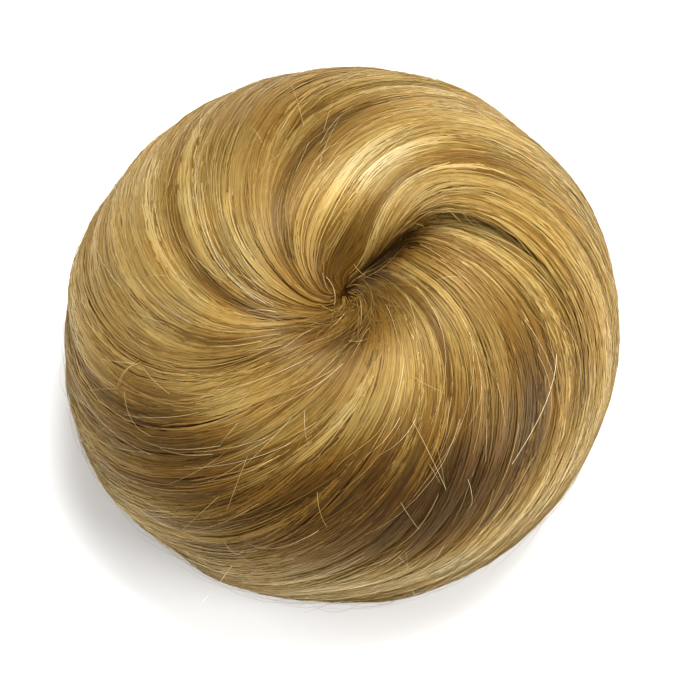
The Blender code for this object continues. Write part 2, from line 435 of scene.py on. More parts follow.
def linked(name: str, data: Any) -> bpy.types.Object:
    """A new object of the scene for a mesh, a light or a camera.

    Args:
        name: Its name.
        data: What it shows.

    Returns:
        The object.
    """
    made = bpy.data.objects.new(name, data)
    bpy.context.scene.collection.objects.link(made)
    return made


def make_object(
    name: str,
    points: Array,
    faces: Sequence[Sequence[int]],
    tone: Array | None = None,
    unwrapped: Array | None = None,
) -> bpy.types.Object:
    """A linked mesh object, shaded smooth.

    Args:
        name: The object's name.
        points: The places of its points.
        faces: The points of each face.
        tone: The hair tone at each point.
        unwrapped: The UV place of each face corner, in the order of the faces.

    Returns:
        The object.
    """
    data = bpy.data.meshes.new(name)
    data.from_pydata(points.tolist(), [], faces)
    data.shade_smooth()
    if tone is not None:
        layer = data.attributes.new("tone", "FLOAT", "POINT")
        layer.data.foreach_set("value", tone.astype(np.float32))
    if unwrapped is not None:
        layer = data.uv_layers.new(name="OFBake")
        layer.uv.foreach_set("vector", unwrapped.astype(np.float32).ravel())
    data.validate()
    return linked(name, data)


def settle(piece: bpy.types.Object, material: bpy.types.Material, slot: Slot, *nodes: str) -> None:
    """Gives a piece its finish and makes it ride with the hairpiece.

    Args:
        piece: The piece.
        material: Its finish.
        slot: The record's slot for the finish; not used.
        nodes: The CAD nodes that the piece stands for.
    """
    piece.data.materials.clear()
    piece.data.materials.append(material)
    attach(piece, ROOT)
    if nodes:
        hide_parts(*nodes)
    triangles = sum(len(face.vertices) - 2 for face in piece.data.polygons)
    LOG.info("%s: %d triangles", piece.name, triangles)


@dataclass(frozen=True)
class Fold:
    """A crease that follows the lay of the hair, steep on its anticlockwise side.

    angle says which hair it follows, the two sides are its widths, and shift is how far off that
    hair it begins, all in degrees. depth and lip are shares of the form's fold_depth. lip_place
    and lip_width are shares of the steep side. The rest are travels.
    """

    angle: float
    steep: float
    gentle: float
    depth: float
    lip: float
    starts: float
    deepest: float
    ends: float
    shift: float = 0.0
    shift_length: float = 0.17
    lip_place: float = 2.4
    lip_width: float = 1.4

    def at(self, travel: Array) -> Array:
        """The angle, in degrees, of the hair that it lies along at a travel."""
        return self.angle + self.shift * bell(travel / self.shift_length)

    def rise(self, apart: Array) -> Array:
        """How far it raises the surface beside it, as a share of the form's fold_depth.

        Args:
            apart: How far off the places are, in degrees, anticlockwise above 0.

        Returns:
            The rise at its deepest travel.
        """
        side = np.where(apart > 0.0, self.steep, self.gentle)
        lip = (apart - self.lip_place * self.steep) / (self.lip_width * self.steep)
        return self.lip * bell(lip) - self.depth * bell(apart / side)

    def strength(self, travel: Array) -> Array:
        """Its share of its full depth at a travel."""
        return eased(self.starts, self.deepest, travel) * (1.0 - eased(self.deepest, self.ends, travel))


SLOT_FOLD = Fold(18, 6, 24, 1.00, 0.38, 0.00, 0.17, 0.66, shift=-48)
FOLDS = (
    SLOT_FOLD,
    Fold(98, 14, 20, 0.45, 0.12, 0.05, 0.40, 0.95),
    Fold(156, 14, 18, 0.38, 0.10, 0.08, 0.27, 0.70),
    Fold(248, 12, 16, 0.34, 0.05, 0.35, 0.63, 1.05),
    Fold(316, 14, 20, 0.40, 0.05, 0.30, 0.62, 1.05),
)


@dataclass(frozen=True)
class Patch:
    """A stretch where something about the hair is changed, most at its middle.

    angle and width are in degrees, and travel and length are travels. clockwise is the width of
    its clockwise side, as a share of width.
    """

    angle: float
    travel: float
    width: float
    length: float
    change: float
    clockwise: float = 1.0

    def at(self, apart: Array, travel: Array | float) -> Array:
        """The change at places so many degrees anticlockwise of it, at their travels."""
        width = self.width * np.where(apart < 0.0, self.clockwise, 1.0)
        return self.change * bell(apart / width, (travel - self.travel) / self.length)


# Where the hair lies steeper or flatter across the meridian than elsewhere, in degrees; the
# angles are bearings
SWAYS = (
    Patch(41, 0.13, 16, 0.16, -28, clockwise=0.5),
    Patch(24, 0.19, 11, 0.13, 16),
    Patch(64, 0.25, 24, 0.28, -13),
    Patch(8, 0.25, 20, 0.25, 8),
    Patch(112, 0.12, 28, 0.20, 14),
    Patch(170, 0.38, 35, 0.30, 9),
    Patch(225, 0.35, 22, 0.35, -13),
    Patch(270, 0.65, 40, 0.22, -9),
    Patch(335, 0.70, 25, 0.20, 5),
)

# Stations inside the first row, as shares of its distance from the axis
INNER_ROWS = (0.2, 0.6)

# How far the outline reaches at every 30 degrees of bearing, as shares of the bun's radius
OUTLINE_REACH = (1.000, 1.010, 0.998, 0.967, 0.985, 0.997, 1.004, 1.026, 0.998, 0.953, 0.972, 0.984)


@dataclass
class HairForm:
    """The hair's outer form and lay, as the solid has them, but with a narrower slot.

    The lay angles are in degrees, and lay_turns says between which travels the lay changes.
    slot_draws is how many degrees round from the slot its edge still draws the hair. The row
    counts and crowding are of the stations along the surface. hairs and steps are the size of the
    table of bearings, which begins at mid_travel.
    """

    radius: float = 59.0 * MM
    height: float = 64.0 * MM
    waist_height: float = 25.0 * MM
    ring_radius: float = 44.0 * MM
    ring_inner_radius: float = 34.3 * MM
    shoulder_fullness: float = 2.25
    skirt_fullness: float = 2.20
    whirl_depth: float = 10.0 * MM
    whirl_radius: float = 12.5 * MM
    lay_at_whirl: float = 34.0
    lay_at_waist: float = 61.0
    lay_turns: tuple[float, float] = (0.10, 0.95)
    lock_count: int = 28
    lock_roundness: float = 0.115
    lock_arch: float = 0.72
    lock_stagger: float = 0.06
    stagger_share: float = 0.25
    lock_width_spread: float = 0.30
    lock_seed: int = 11
    fold_depth: float = 6.0 * MM
    slot_draws: float = 55.0
    locks_fade: float = 0.6
    reach_from: float = 0.3
    first_row: float = 1.0 / 19.0
    dome_rows: int = 300
    skirt_rows: int = 160
    ring_rows: int = 40
    crowding: float = 1.25
    mid_travel: float = 0.45
    hairs: int = 720
    steps: int = 600
    table: dict[str, Array] = field(default_factory=dict)

    def __post_init__(self) -> None:
        """Works out the stations along the surface, the locks round it and the way they wind."""
        self._lay_stations()
        self._share_out_locks()
        self._wind()

    def _lay_stations(self) -> None:
        """Fills the table of stations, from the whirl over the waist to the ring's inner edge."""
        rows = np.linspace(1.0, 1.0 / self.first_row, self.dome_rows)
        share = np.concatenate([INNER_ROWS, rows]) * self.first_row
        turn = QUARTER_TURN * share**self.crowding
        out = np.sin(turn) ** (2.0 / self.shoulder_fullness)
        rise = np.abs(np.cos(turn)) ** (2.0 / self.shoulder_fullness)
        dome_radius = self.radius * out
        dent = self.whirl_depth * bell(dome_radius / self.whirl_radius)
        dome_height = self.waist_height + (self.height - self.waist_height) * rise - dent
        turn = QUARTER_TURN * np.linspace(0.01, 1.0, self.skirt_rows)
        out = np.abs(np.cos(turn)) ** (2.0 / self.skirt_fullness)
        drop = np.sin(turn) ** (2.0 / self.skirt_fullness)
        skirt_radius = self.ring_radius + (self.radius - self.ring_radius) * out
        skirt_height = self.waist_height * (1.0 - drop)
        ring = np.linspace(self.ring_radius, self.ring_inner_radius, self.ring_rows)[1:]
        radius = np.concatenate([dome_radius, skirt_radius, ring])
        height = np.concatenate([dome_height, skirt_height, np.zeros(len(ring))])
        steps = np.hypot(np.diff(radius), np.diff(height))
        travelled = np.concatenate([[0.0], np.cumsum(steps)])
        travelled -= travelled[len(INNER_ROWS)]
        self.dome_length = travelled[len(dome_radius) - 1]
        self.table = {
            "travel": travelled / self.dome_length,
            "radius": radius,
            "height": height,
            "facing_out": -np.gradient(height, travelled),
            "facing_up": np.gradient(radius, travelled),
        }

    def _wind(self) -> None:
        """Follows each hair both ways from halfway, and notes its bearing at even travels."""
        angle = np.arange(self.hairs + 1) / self.hairs * FULL_TURN
        travel = np.linspace(0.0, self.end_travel(), self.steps)
        radius = self.at("radius", travel)
        run = travel[1] * self.dome_length
        middle = int(np.searchsorted(travel, self.mid_travel))
        bearings = np.empty((self.steps, self.hairs + 1))
        bearings[middle] = angle
        for way, stop in ((1, self.steps - 1), (-1, 0)):
            for index in range(middle, stop, way):
                following = index + way
                turning = np.tan(self.lay(bearings[index], travel[index])) * run
                across = radius[index] + radius[following]
                bearings[following] = bearings[index] - way * turning * 2.0 / across
        self.turned = bearings.T - angle[:, None]

    def _share_out_locks(self) -> None:
        """Works out where the locks begin, and their widths and staggers, as the solid does."""
        chance = random.Random(self.lock_seed)
        draws = np.array([chance.uniform(-1.0, 1.0) for _ in range(2 * self.lock_count)])
        widths = 1.0 + self.lock_width_spread * draws[: self.lock_count]
        self.lock_widths = widths * (FULL_TURN / widths.sum())
        self.lock_edges = np.concatenate([[0.0], np.cumsum(self.lock_widths)])
        self.lock_staggers = self.lock_stagger * draws[self.lock_count :]

    def at(self, column: str, travel: Array) -> Array:
        """One column of the table at any travels."""
        return np.interp(travel, self.table["travel"], self.table[column])

    def lay(self, bearing: Array, travel: Array | float) -> Array:
        """The angle of the hair to the meridian, in radians.

        Args:
            bearing: The bearings in radians.
            travel: The travels.

        Returns:
            The angle at each place.
        """
        turned = eased(*self.lay_turns, travel)
        degrees = self.lay_at_whirl + (self.lay_at_waist - self.lay_at_whirl) * turned
        for sway in SWAYS:
            degrees = degrees + sway.at(wrapped(np.degrees(bearing) - sway.angle), travel)
        return np.radians(degrees)

    def bearing(self, angle: Array, travel: Array) -> Array:
        """The bearing at a travel of the hair of an angle, in radians.

        Args:
            angle: The angles in radians.
            travel: The travels.

        Returns:
            The bearings.
        """
        angle, travel = np.broadcast_arrays(angle, travel)
        across = np.mod(angle, FULL_TURN) / FULL_TURN * self.hairs
        along = np.clip(travel / self.end_travel(), 0.0, 1.0) * (self.steps - 1)
        row = np.minimum(across.astype(int), self.hairs - 1)
        column = np.minimum(along.astype(int), self.steps - 2)
        across, along = across - row, along - column
        near, far = (
            self.turned[side, column] * (1.0 - along) + self.turned[side, column + 1] * along
            for side in (row, row + 1)
        )
        return angle + near * (1.0 - across) + far * across

    def first_travel(self) -> float:
        """The travel nearest the whirl's middle, where it is below 0."""
        return float(self.table["travel"][0])

    def end_travel(self) -> float:
        """The travel at the resting ring's inner edge."""
        return float(self.table["travel"][-1])

    def lock_relief(self, angle: Array) -> tuple[Array, Array]:
        """How the locks stand up at any angles.

        Args:
            angle: The angles in radians.

        Returns:
            The width of the lock there in radians, and the rise as a share of that width.
        """
        angle = np.mod(angle, FULL_TURN)
        index = np.searchsorted(self.lock_edges, angle, side="right") - 1
        index = np.clip(index, 0, self.lock_count - 1)
        width = self.lock_widths[index]
        share = (angle - self.lock_edges[index]) / width
        arch = np.sin(math.pi * np.clip(share, 0.0, 1.0)) ** self.lock_arch
        own = self.lock_staggers[index]
        before = 0.5 * (own + self.lock_staggers[index - 1])
        after = 0.5 * (own + self.lock_staggers[(index + 1) % self.lock_count])
        stagger = before + (own - before) * eased(0.0, self.stagger_share, share)
        stagger = stagger + (after - own) * eased(1.0 - self.stagger_share, 1.0, share)
        return width, self.lock_roundness * arch + stagger

    def beside(self, angle: Array | float, bearing: Array, travel: Array) -> Array:
        """How far bearings are from the hair of an angle at the same travel, in degrees."""
        return wrapped(np.degrees(bearing - self.bearing(np.radians(angle), travel)))

    def drawn_over(self, label: Array, travel: Array) -> Array:
        """How far the slot draws the hair on its anticlockwise side along its edge, in radians.

        Args:
            label: The angles in radians.
            travel: The travels.

        Returns:
            What to add to the angles.
        """
        past = np.mod(np.degrees(label) - SLOT_FOLD.angle, 360.0)
        share = 1.0 - eased(0.0, self.slot_draws, past)
        return np.radians(SLOT_FOLD.at(travel) - SLOT_FOLD.angle) * share

    def fold_rise(self, bearing: Array, travel: Array) -> Array:
        """How far the folds raise the surface, in metres.

        Args:
            bearing: The bearings in radians.
            travel: The travels.

        Returns:
            The rise at each place.
        """
        rise = np.zeros(np.broadcast(bearing, travel).shape)
        for fold in FOLDS:
            apart = self.beside(fold.at(travel), bearing, travel)
            rise += self.fold_depth * fold.strength(travel) * fold.rise(apart)
        return rise

    def reach(self, bearing: Array) -> Array:
        """The outline's share of the radius at any bearings.

        Args:
            bearing: The bearings in radians.

        Returns:
            The share at each.
        """
        rows = np.array(OUTLINE_REACH)
        place = np.mod(bearing, FULL_TURN) / FULL_TURN * len(rows)
        index = np.floor(place).astype(int) % len(rows)
        first, second = rows[index], rows[(index + 1) % len(rows)]
        return first + (second - first) * eased(0.0, 1.0, place - np.floor(place))

    def place(self, angle: Array, travel: Array, lift: Array | float) -> tuple[Array, Array]:
        """Points over the surface.

        Args:
            angle: The angles in radians.
            travel: The travels.
            lift: How far over the surface the points are, in metres.

        Returns:
            The points and the surface's facing there.
        """
        radius = self.at("radius", travel)
        height = self.at("height", travel)
        out = self.at("facing_out", travel)
        up = self.at("facing_up", travel)
        bearing = self.bearing(angle, travel)
        above, share_up = travel < 1.0, height / self.waist_height
        off_floor = np.where(above, 1.0, eased(0.0, self.locks_fade, share_up))
        width, share = self.lock_relief(angle)
        rise = width * radius * np.cos(self.lay(bearing, travel)) * share
        rise += self.fold_rise(bearing, travel)
        rise = rise * off_floor + lift
        reaching = eased(self.reach_from, 1.0, travel) * np.where(above, 1.0, eased(0.0, 1.0, share_up))
        stretch = 1.0 + (self.reach(bearing) - 1.0) * reaching
        radius = radius * stretch + rise * out
        return round_axis(radius, bearing, height + rise * up), round_axis(out, bearing, up)


@dataclass(frozen=True)
class Strands:
    """One kind of strand, laid in clumps.

    Angles are in degrees and the pairs are ranges. starts, runs and first are travels. lift and
    half_width are in metres. A strand begins and ends sink below its lift, and a clump's strands
    draw together by gather on their way.
    """

    name: str
    clumps: int
    per_clump: int
    rings: int
    starts: tuple[float, float]
    runs: tuple[float, float]
    spread: float
    drift: float
    gather: float
    lift: tuple[float, float]
    half_width: tuple[float, float]
    sink: float
    wobble: float
    tone: float
    tone_spread: float
    seed: int


STRAND_KINDS = (
    Strands(
        name="long", clumps=95, per_clump=17, rings=24, starts=(-0.03, 0.12), runs=(1.05, 1.45),
        spread=2.4, drift=5.0, gather=0.35, lift=(0.04 * MM, 0.28 * MM),
        half_width=(0.15 * MM, 0.25 * MM), sink=0.8 * MM, wobble=0.6, tone=0.425, tone_spread=0.09,
        seed=21,
    ),
    Strands(
        name="middle", clumps=330, per_clump=14, rings=14, starts=(-0.02, 0.98), runs=(0.30, 0.75),
        spread=2.0, drift=9.0, gather=0.45, lift=(0.06 * MM, 0.42 * MM),
        half_width=(0.11 * MM, 0.20 * MM), sink=0.7 * MM, wobble=0.7, tone=0.425, tone_spread=0.09,
        seed=22,
    ),
    Strands(
        name="single", clumps=1150, per_clump=1, rings=13, starts=(0.02, 1.05), runs=(0.25, 0.60),
        spread=3.0, drift=14.0, gather=0.0, lift=(0.38 * MM, 0.70 * MM),
        half_width=(0.045 * MM, 0.075 * MM), sink=0.5 * MM, wobble=1.4, tone=0.46, tone_spread=0.08,
        seed=23,
    ),
    # Short dark strands where the clumps part: painted shade in the gaps between clumps
    Strands(
        name="gap", clumps=480, per_clump=1, rings=9, starts=(0.05, 1.00), runs=(0.08, 0.22),
        spread=3.0, drift=9.0, gather=0.0, lift=(0.20 * MM, 0.42 * MM),
        half_width=(0.06 * MM, 0.13 * MM), sink=0.5 * MM, wobble=0.7, tone=0.25, tone_spread=0.07,
        seed=25,
    ),
    Strands(
        name="under", clumps=64, per_clump=14, rings=9, starts=(1.10, 1.24), runs=(0.28, 0.40),
        spread=2.8, drift=6.0, gather=0.2, lift=(0.02 * MM, 0.3 * MM),
        half_width=(0.10 * MM, 0.17 * MM), sink=0.5 * MM, wobble=0.5, tone=0.40, tone_spread=0.12,
        seed=24,
    ),
)


# Where the hair is lighter or darker: partly the hair's own tone, partly painted shade in valleys and on
# the lower slopes and painted highlights on lit lobes and at the rim; the angles say which hair
TONE_AND_PAINTED_LIGHT_AREAS = (
    Patch(237, 0.12, 14, 0.05, -0.25),
    Patch(67, 0.27, 13, 0.17, 0.20),
    Patch(122, 0.97, 25, 0.14, 0.12),
    Patch(96, 0.42, 12, 0.26, -0.14),
    Patch(142, 0.38, 18, 0.14, 0.16),
    Patch(122, 0.50, 22, 0.15, -0.14),
    Patch(156, 0.28, 12, 0.15, -0.22),
    Patch(230, 0.46, 16, 0.10, 0.10),
    Patch(285, 0.66, 55, 0.20, -0.20),
    Patch(246, 0.64, 18, 0.18, -0.16),
    Patch(281, 0.28, 12, 0.10, 0.16),
    Patch(222, 0.57, 15, 0.11, -0.23),
    Patch(285, 0.50, 26, 0.13, -0.15),
    Patch(348, 0.62, 15, 0.16, -0.30),
    Patch(0, 0.92, 24, 0.13, 0.16),
    Patch(50, 0.92, 40, 0.15, 0.07),
    Patch(318, 0.64, 24, 0.18, -0.25),
    Patch(235, 0.17, 45, 0.11, -0.14),
    Patch(16, 0.66, 12, 0.20, -0.06),
    Patch(335, 0.80, 20, 0.12, -0.10),
    Patch(200, 0.38, 18, 0.10, -0.07),
    Patch(172, 0.54, 14, 0.12, -0.05),
    Patch(86, 0.68, 17, 0.13, 0.13),
    Patch(56, 0.56, 13, 0.18, -0.10),
    Patch(285, 1.10, 32, 0.11, 0.09),
    Patch(336, 0.32, 14, 0.12, -0.08),
    Patch(30, 0.50, 14, 0.14, -0.06),
    Patch(240, 0.34, 20, 0.09, -0.04),
    Patch(125, 0.82, 45, 0.15, 0.05),
    Patch(312, 0.16, 12, 0.06, 0.08),
)


@dataclass
class CapForm:
    """The cap's section, worked out from the frame's boxes of the cap and the elastic band."""

    hem_radius: float
    hem_height: float
    widest_radius: float
    crown_height: float
    widest_height: float = 16.0 * MM
    wall: float = 1.2 * MM
    sewn_gap: float = 0.3 * MM

    @classmethod
    def from_frame(cls) -> "CapForm":
        """Reads the sizes from the frame.

        Returns:
            The form.
        """
        low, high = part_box("base_cap")
        _, band_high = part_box("elastic_band")
        return cls(hem_radius=band_high.x, hem_height=low.z, widest_radius=high.x, crown_height=high.z)

    def section(self, offset: float, bulge_rows: int = 6, crown_rows: int = 16) -> Array:
        """The cap's outer section moved out by an offset.

        Args:
            offset: How far out, in metres.
            bulge_rows: How many rows run from the hem to the widest place.
            crown_rows: How many rows run on to the crown.

        Returns:
            Radii and heights from the hem to the crown.
        """
        share = np.linspace(0.0, 1.0, bulge_rows + 1)
        bulge = (self.widest_radius - self.hem_radius) * np.sin(QUARTER_TURN * share)
        low_heights = self.hem_height + (self.widest_height - self.hem_height) * share
        turn = QUARTER_TURN * np.arange(1, crown_rows + 1) / crown_rows
        high_radii = (self.widest_radius + offset) * np.cos(turn)
        rise = self.crown_height - self.widest_height + offset
        high_heights = self.widest_height + rise * np.sin(turn)
        radii = np.concatenate([self.hem_radius + offset + bulge, high_radii])
        return np.stack([radii, np.concatenate([low_heights, high_heights])], -1)

    def rings(self, section: Array, bearing: Array) -> Array:
        """Rings of points from a section's radii and heights, at the bearings."""
        return round_axis(section[:, :1], bearing[None, :], section[:, 1:])

    def hair_wall(self, bearing: Array) -> Array:
        """Rings of the hair's inner wall, from the floor up to just under its crown."""
        foot = [[self.hem_radius + self.sewn_gap, BODY_CLEARANCE]]
        return self.rings(np.concatenate([foot, self.section(self.sewn_gap)[:-1]]), bearing)


@dataclass
class WoundHair:
    """The hair: a grooved body of packed hair, with clumps of strands laid over it.

    The shades and the light are painted into the tone: painted shade along the slot, round the whirl and
    on the underside, and a painted rim light, each over the travels or the width named after it.
    slot_overhang, slot_under and slot_leaves are in degrees off the slot. The scatters are how far
    each strand of a clump strays from the clump's own draw. The gaps are how much travel a strand
    leaves free at either end of the surface.
    """

    form: HairForm
    fibre: bpy.types.Material
    packed: bpy.types.Material
    hollow: CapForm
    columns: int = 360
    rows: int = 64
    inset: float = 0.22 * MM
    groove: float = 0.16 * MM
    groove_range: tuple[float, float] = (-1.0, 0.2)
    # packed_tone is a little under the strands' tone, so that the gaps between strands show darker hair:
    # painted shade between the strands
    packed_tone: float = 0.36
    packed_spread: float = 0.07
    inner_tone: float = 0.20
    pole_drop: float = 0.2 * MM
    wander_size: float = 0.030
    wander_waves: tuple[int, int] = (2, 12)
    wander_slide: float = 5.0
    wander_full: float = 0.5
    whirl_shade: float = 0.30
    whirl_length: float = 0.17
    rim_light: float = 0.14
    rim_travel: float = 1.03
    rim_length: float = 0.16
    under_shade: float = 0.16
    under_travels: tuple[float, float] = (1.05, 1.40)
    slot_overhang: float = 7.0
    slot_tuck: float = 2.0 * MM
    slot_under: float = 3.0
    slot_leaves: tuple[float, float] = (60.0, 80.0)
    tuck_fades: tuple[float, float] = (0.30, 0.45)
    slot_shade: float = 0.38
    slot_shade_width: float = 2.3 * MM
    slot_shade_crispness: float = 12.0
    slot_shade_from: float = 0.08
    slot_shade_length: float = 0.19
    start_scatter: float = 0.03
    run_scatter: float = 0.12
    drift_scatter: float = 1.2
    lift_scatter: float = 0.06 * MM
    tone_scatter: float = 0.020
    first_gap: float = 0.008
    last_gap: float = 0.005
    least_run: float = 0.1
    ring_crowding: float = 1.15
    wobbles: tuple[float, float] = (2.0, 7.0)
    blunt_tip: float = 0.004
    tip_rise: float = 0.40
    tip_width: float = 0.30

    def wander(self, angle: Array, travel: Array) -> Array:
        """How far all hair at a place strays from the lay, in radians.

        Args:
            angle: The angles in radians.
            travel: The travels.

        Returns:
            What to add to the angles.
        """
        chance = np.random.default_rng(5)
        stray = np.zeros(np.broadcast(angle, travel).shape)
        for waves in range(*self.wander_waves):
            size = self.wander_size / waves**0.6
            phase = chance.uniform(0.0, FULL_TURN)
            slide = chance.uniform(-self.wander_slide, self.wander_slide)
            stray += size * np.sin(waves * angle + slide * travel + phase)
        return stray * eased(0.0, self.wander_full, travel)

    def off_slot(self, angle: Array, travel: Array) -> tuple[Array, Array]:
        """The bearings of places, and how far off the slot they are, in degrees."""
        bearing = self.form.bearing(angle, travel)
        return bearing, self.form.beside(SLOT_FOLD.at(travel), bearing, travel)

    def tone_and_painted_light(self, angle: Array, travel: Array) -> Array:
        """The change of tone: lighter and darker stretches, partly the hair's own tone and partly
        painted shade and painted highlights, then painted shade along the slot, round the whirl and on
        the underside, and a painted rim light.

        Args:
            angle: The angles in radians.
            travel: The travels.

        Returns:
            The change at each place.
        """
        bearing, off = self.off_slot(angle, travel)
        change = np.zeros(bearing.shape)
        for area in TONE_AND_PAINTED_LIGHT_AREAS:
            change += area.at(self.form.beside(area.angle, bearing, travel), travel)
        # Painted shade along the slot's crease, ending crisply at its steep edge
        apart = np.radians(off) * self.form.at("radius", travel) / self.slot_shade_width
        apart = np.where(apart > 0.0, self.slot_shade_crispness * apart, apart)
        along = np.maximum(travel - self.slot_shade_from, 0.0) / self.slot_shade_length
        change -= self.slot_shade * bell(apart, along)
        # Painted shade round the whirl's hollow, a painted rim light at the waist and painted shade on
        # the underside
        change -= self.whirl_shade * np.exp(-np.maximum(travel, 0.0) / self.whirl_length)
        change += self.rim_light * bell((travel - self.rim_travel) / self.rim_length)
        return change - self.under_shade * eased(*self.under_travels, travel)

    def overhang(self, angle: Array, travel: Array) -> Array:
        """How far the strands at the slot's edge are held up over its steep side, in metres.

        Args:
            angle: The angles in radians.
            travel: The travels.

        Returns:
            The extra height at each place.
        """
        bearing, apart = self.off_slot(angle, travel)
        further = bearing + np.radians(self.slot_overhang)
        up = self.form.fold_rise(further, travel) - self.form.fold_rise(bearing, travel)
        return np.where((apart > 0.0) & (apart < 3.0 * self.slot_overhang), np.maximum(up, 0.0), 0.0)

    def tuck(self, angle: Array, travel: Array) -> Array:
        """How far hair that comes out from under the slot's edge is held down there, in metres.

        Args:
            angle: The angles in radians.
            travel: The travels.

        Returns:
            The depth at each place.
        """
        _, apart = self.off_slot(angle, travel)
        under = eased(0.0, self.slot_under, apart) * (1.0 - eased(*self.slot_leaves, apart))
        return self.slot_tuck * under * (1.0 - eased(*self.tuck_fades, travel))

    def build_body(self) -> bpy.types.Object:
        """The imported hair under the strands, closed round the hollow.

        Returns:
            The piece, which stands for the solid.
        """
        chance = np.random.default_rng(3)
        angle = evenly_round(self.columns)
        end = self.form.end_travel()
        dome = np.linspace(self.form.first_travel(), 1.0, self.rows)
        travel = np.concatenate([dome, np.linspace(1.0, end, self.rows // 3)[1:]])
        depth = self.groove * chance.uniform(*self.groove_range, self.columns)
        shade = chance.normal(0.0, self.packed_spread, self.columns)
        angles, travels = np.meshgrid(angle, travel)
        strayed = angles + self.wander(angles, travels)
        points, _ = self.form.place(strayed, travels, depth[None, :] - self.inset)
        keep_above(points, BODY_CLEARANCE)
        tone = self.packed_tone + shade[None, :] + self.tone_and_painted_light(angles, travels)
        inner = self.hollow.hair_wall(self.form.bearing(angle, end))
        rows = np.concatenate([points, inner])
        tone = np.concatenate([tone, np.full(inner.shape[:2], self.inner_tone)])
        top = points[0, :, 2].mean() - self.pole_drop
        return closed_bowl("hair_body", rows, (top, inner[-1, 0, 2]), tone)

    def lay(self, kind: Strands) -> tuple[Array, Array, Array, Array]:
        """Works out the strands of one kind.

        Args:
            kind: The kind.

        Returns:
            The middle line, facing, half width and tone at each ring of each strand.
        """
        chance = np.random.default_rng(kind.seed)
        count = kind.clumps * kind.per_clump

        def each(values: Array) -> Array:
            """One value for each strand from one for each clump, as a column."""
            return np.repeat(values, kind.per_clump)[:, None]

        def scattered(size: float) -> Array:
            """A normal draw for each strand, as a column."""
            return chance.normal(0.0, size, count)[:, None]

        evenly = (np.arange(kind.clumps) + chance.uniform(-0.5, 0.5, kind.clumps)) / kind.clumps
        middle = each(evenly[chance.permutation(kind.clumps)] * FULL_TURN)
        starts = each(chance.uniform(*kind.starts, kind.clumps)) + scattered(self.start_scatter)
        runs = each(chance.uniform(*kind.runs, kind.clumps)) * (1.0 + scattered(self.run_scatter))
        drift = each(np.radians(chance.normal(0.0, kind.drift, kind.clumps)))
        drift = drift + np.radians(scattered(self.drift_scatter))
        aside = np.radians(scattered(kind.spread))
        label = middle + aside
        last = self.form.end_travel()
        starts = np.clip(starts, self.form.first_travel() + self.first_gap, last - self.least_run)
        ends = np.minimum(starts + runs, last - self.last_gap)
        along = np.linspace(0.0, 1.0, kind.rings)[None, :]
        travel = starts + (ends - starts) * along**self.ring_crowding
        wave = scattered(np.radians(kind.wobble))
        wave = wave * np.sin(along * chance.uniform(*self.wobbles, (count, 1)))
        angle = middle + aside * (1.0 - kind.gather * along) + drift * (travel - starts) + wave
        angle += self.wander(label, travel) + self.form.drawn_over(label, travel)
        lift = each(chance.uniform(*kind.lift, kind.clumps)) + np.abs(scattered(self.lift_scatter))
        over = np.mod(np.degrees(label) - SLOT_FOLD.angle, 360.0) < 180.0
        lift = lift + np.where(over, self.overhang(angle, travel), -self.tuck(angle, travel))
        inside = np.clip(along, self.blunt_tip, 1.0 - self.blunt_tip)
        standing = np.sin(math.pi * inside) ** self.tip_rise
        points, facing = self.form.place(angle, travel, (lift + kind.sink) * standing - kind.sink)
        keep_above(points, STRAND_CLEARANCE)
        full = self.tip_width + (1.0 - self.tip_width) * standing
        half = chance.uniform(*kind.half_width, (count, 1)) * full
        tone = kind.tone + each(chance.normal(0.0, kind.tone_spread, kind.clumps))
        tone = tone + scattered(self.tone_scatter) + self.tone_and_painted_light(angle, travel)
        return points, facing, half, tone

    def build_strands(self) -> None:
        """Lays every kind of strand, in pieces of a bounded size."""
        number = 0
        for kind in STRAND_KINDS:
            points, facing, half, tone = self.lay(kind)
            most = MOST_TRIANGLES // (6 * kind.rings)
            for first in range(0, len(points), most):
                number += 1
                parts = [values[first : first + most] for values in (points, facing, half, tone)]
                settle(strand_object(f"hair_strands_{number}", *parts), self.fibre, Slot.HAIR)

    def build(self) -> None:
        """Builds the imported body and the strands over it."""
        settle(self.build_body(), self.packed, Slot.HAIR, "hair_swirl")
        self.build_strands()


def closed_bowl(
    name: str, rows: Array, poles: tuple[float, float], tone: Array | None = None
) -> bpy.types.Object:
    """A closed surface from one pole on the axis through rings of points to another.

    Args:
        name: The object's name.
        rows: The rings, as rows of points.
        poles: The heights of the points that close the first ring and the last one.
        tone: The hair tone of each point of the rings.

    Returns:
        The object, facing out.
    """
    count, around = rows.shape[:2]
    index = np.arange(count * around).reshape(count, around)
    following = np.roll(index, -1, axis=1)
    quads = np.stack([index[:-1], index[1:], following[1:], following[:-1]], -1).reshape(-1, 4)
    first, last = count * around, count * around + 1
    caps = [(first, a, b) for a, b in zip(index[0].tolist(), following[0].tolist())]
    caps += [(last, b, a) for a, b in zip(index[-1].tolist(), following[-1].tolist())]
    points = np.concatenate([rows.reshape(-1, 3), [(0.0, 0.0, height) for height in poles]])
    across = np.arange(around + 1) / around
    down = np.arange(count + 2) / (count + 1)
    here = np.stack(np.meshgrid(across, down), -1)
    upper, lower = here[1:-2], here[2:-1]
    sides = np.stack([upper[:, :-1], lower[:, :-1], lower[:, 1:], upper[:, 1:]], 2)
    tops = 0.5 * (here[[0, -1], :-1] + here[[0, -1], 1:])
    first_cap = np.stack([tops[0], here[1, :-1], here[1, 1:]], 1)
    last_cap = np.stack([tops[1], here[-2, 1:], here[-2, :-1]], 1)
    unwrapped = np.concatenate([uv.reshape(-1, 2) for uv in (sides, first_cap, last_cap)])
    if tone is not None:
        tone = np.concatenate([tone.ravel(), [tone[0].mean(), tone[-1].mean()]])
    return make_object(name, points, quads.tolist() + caps, tone, unwrapped)


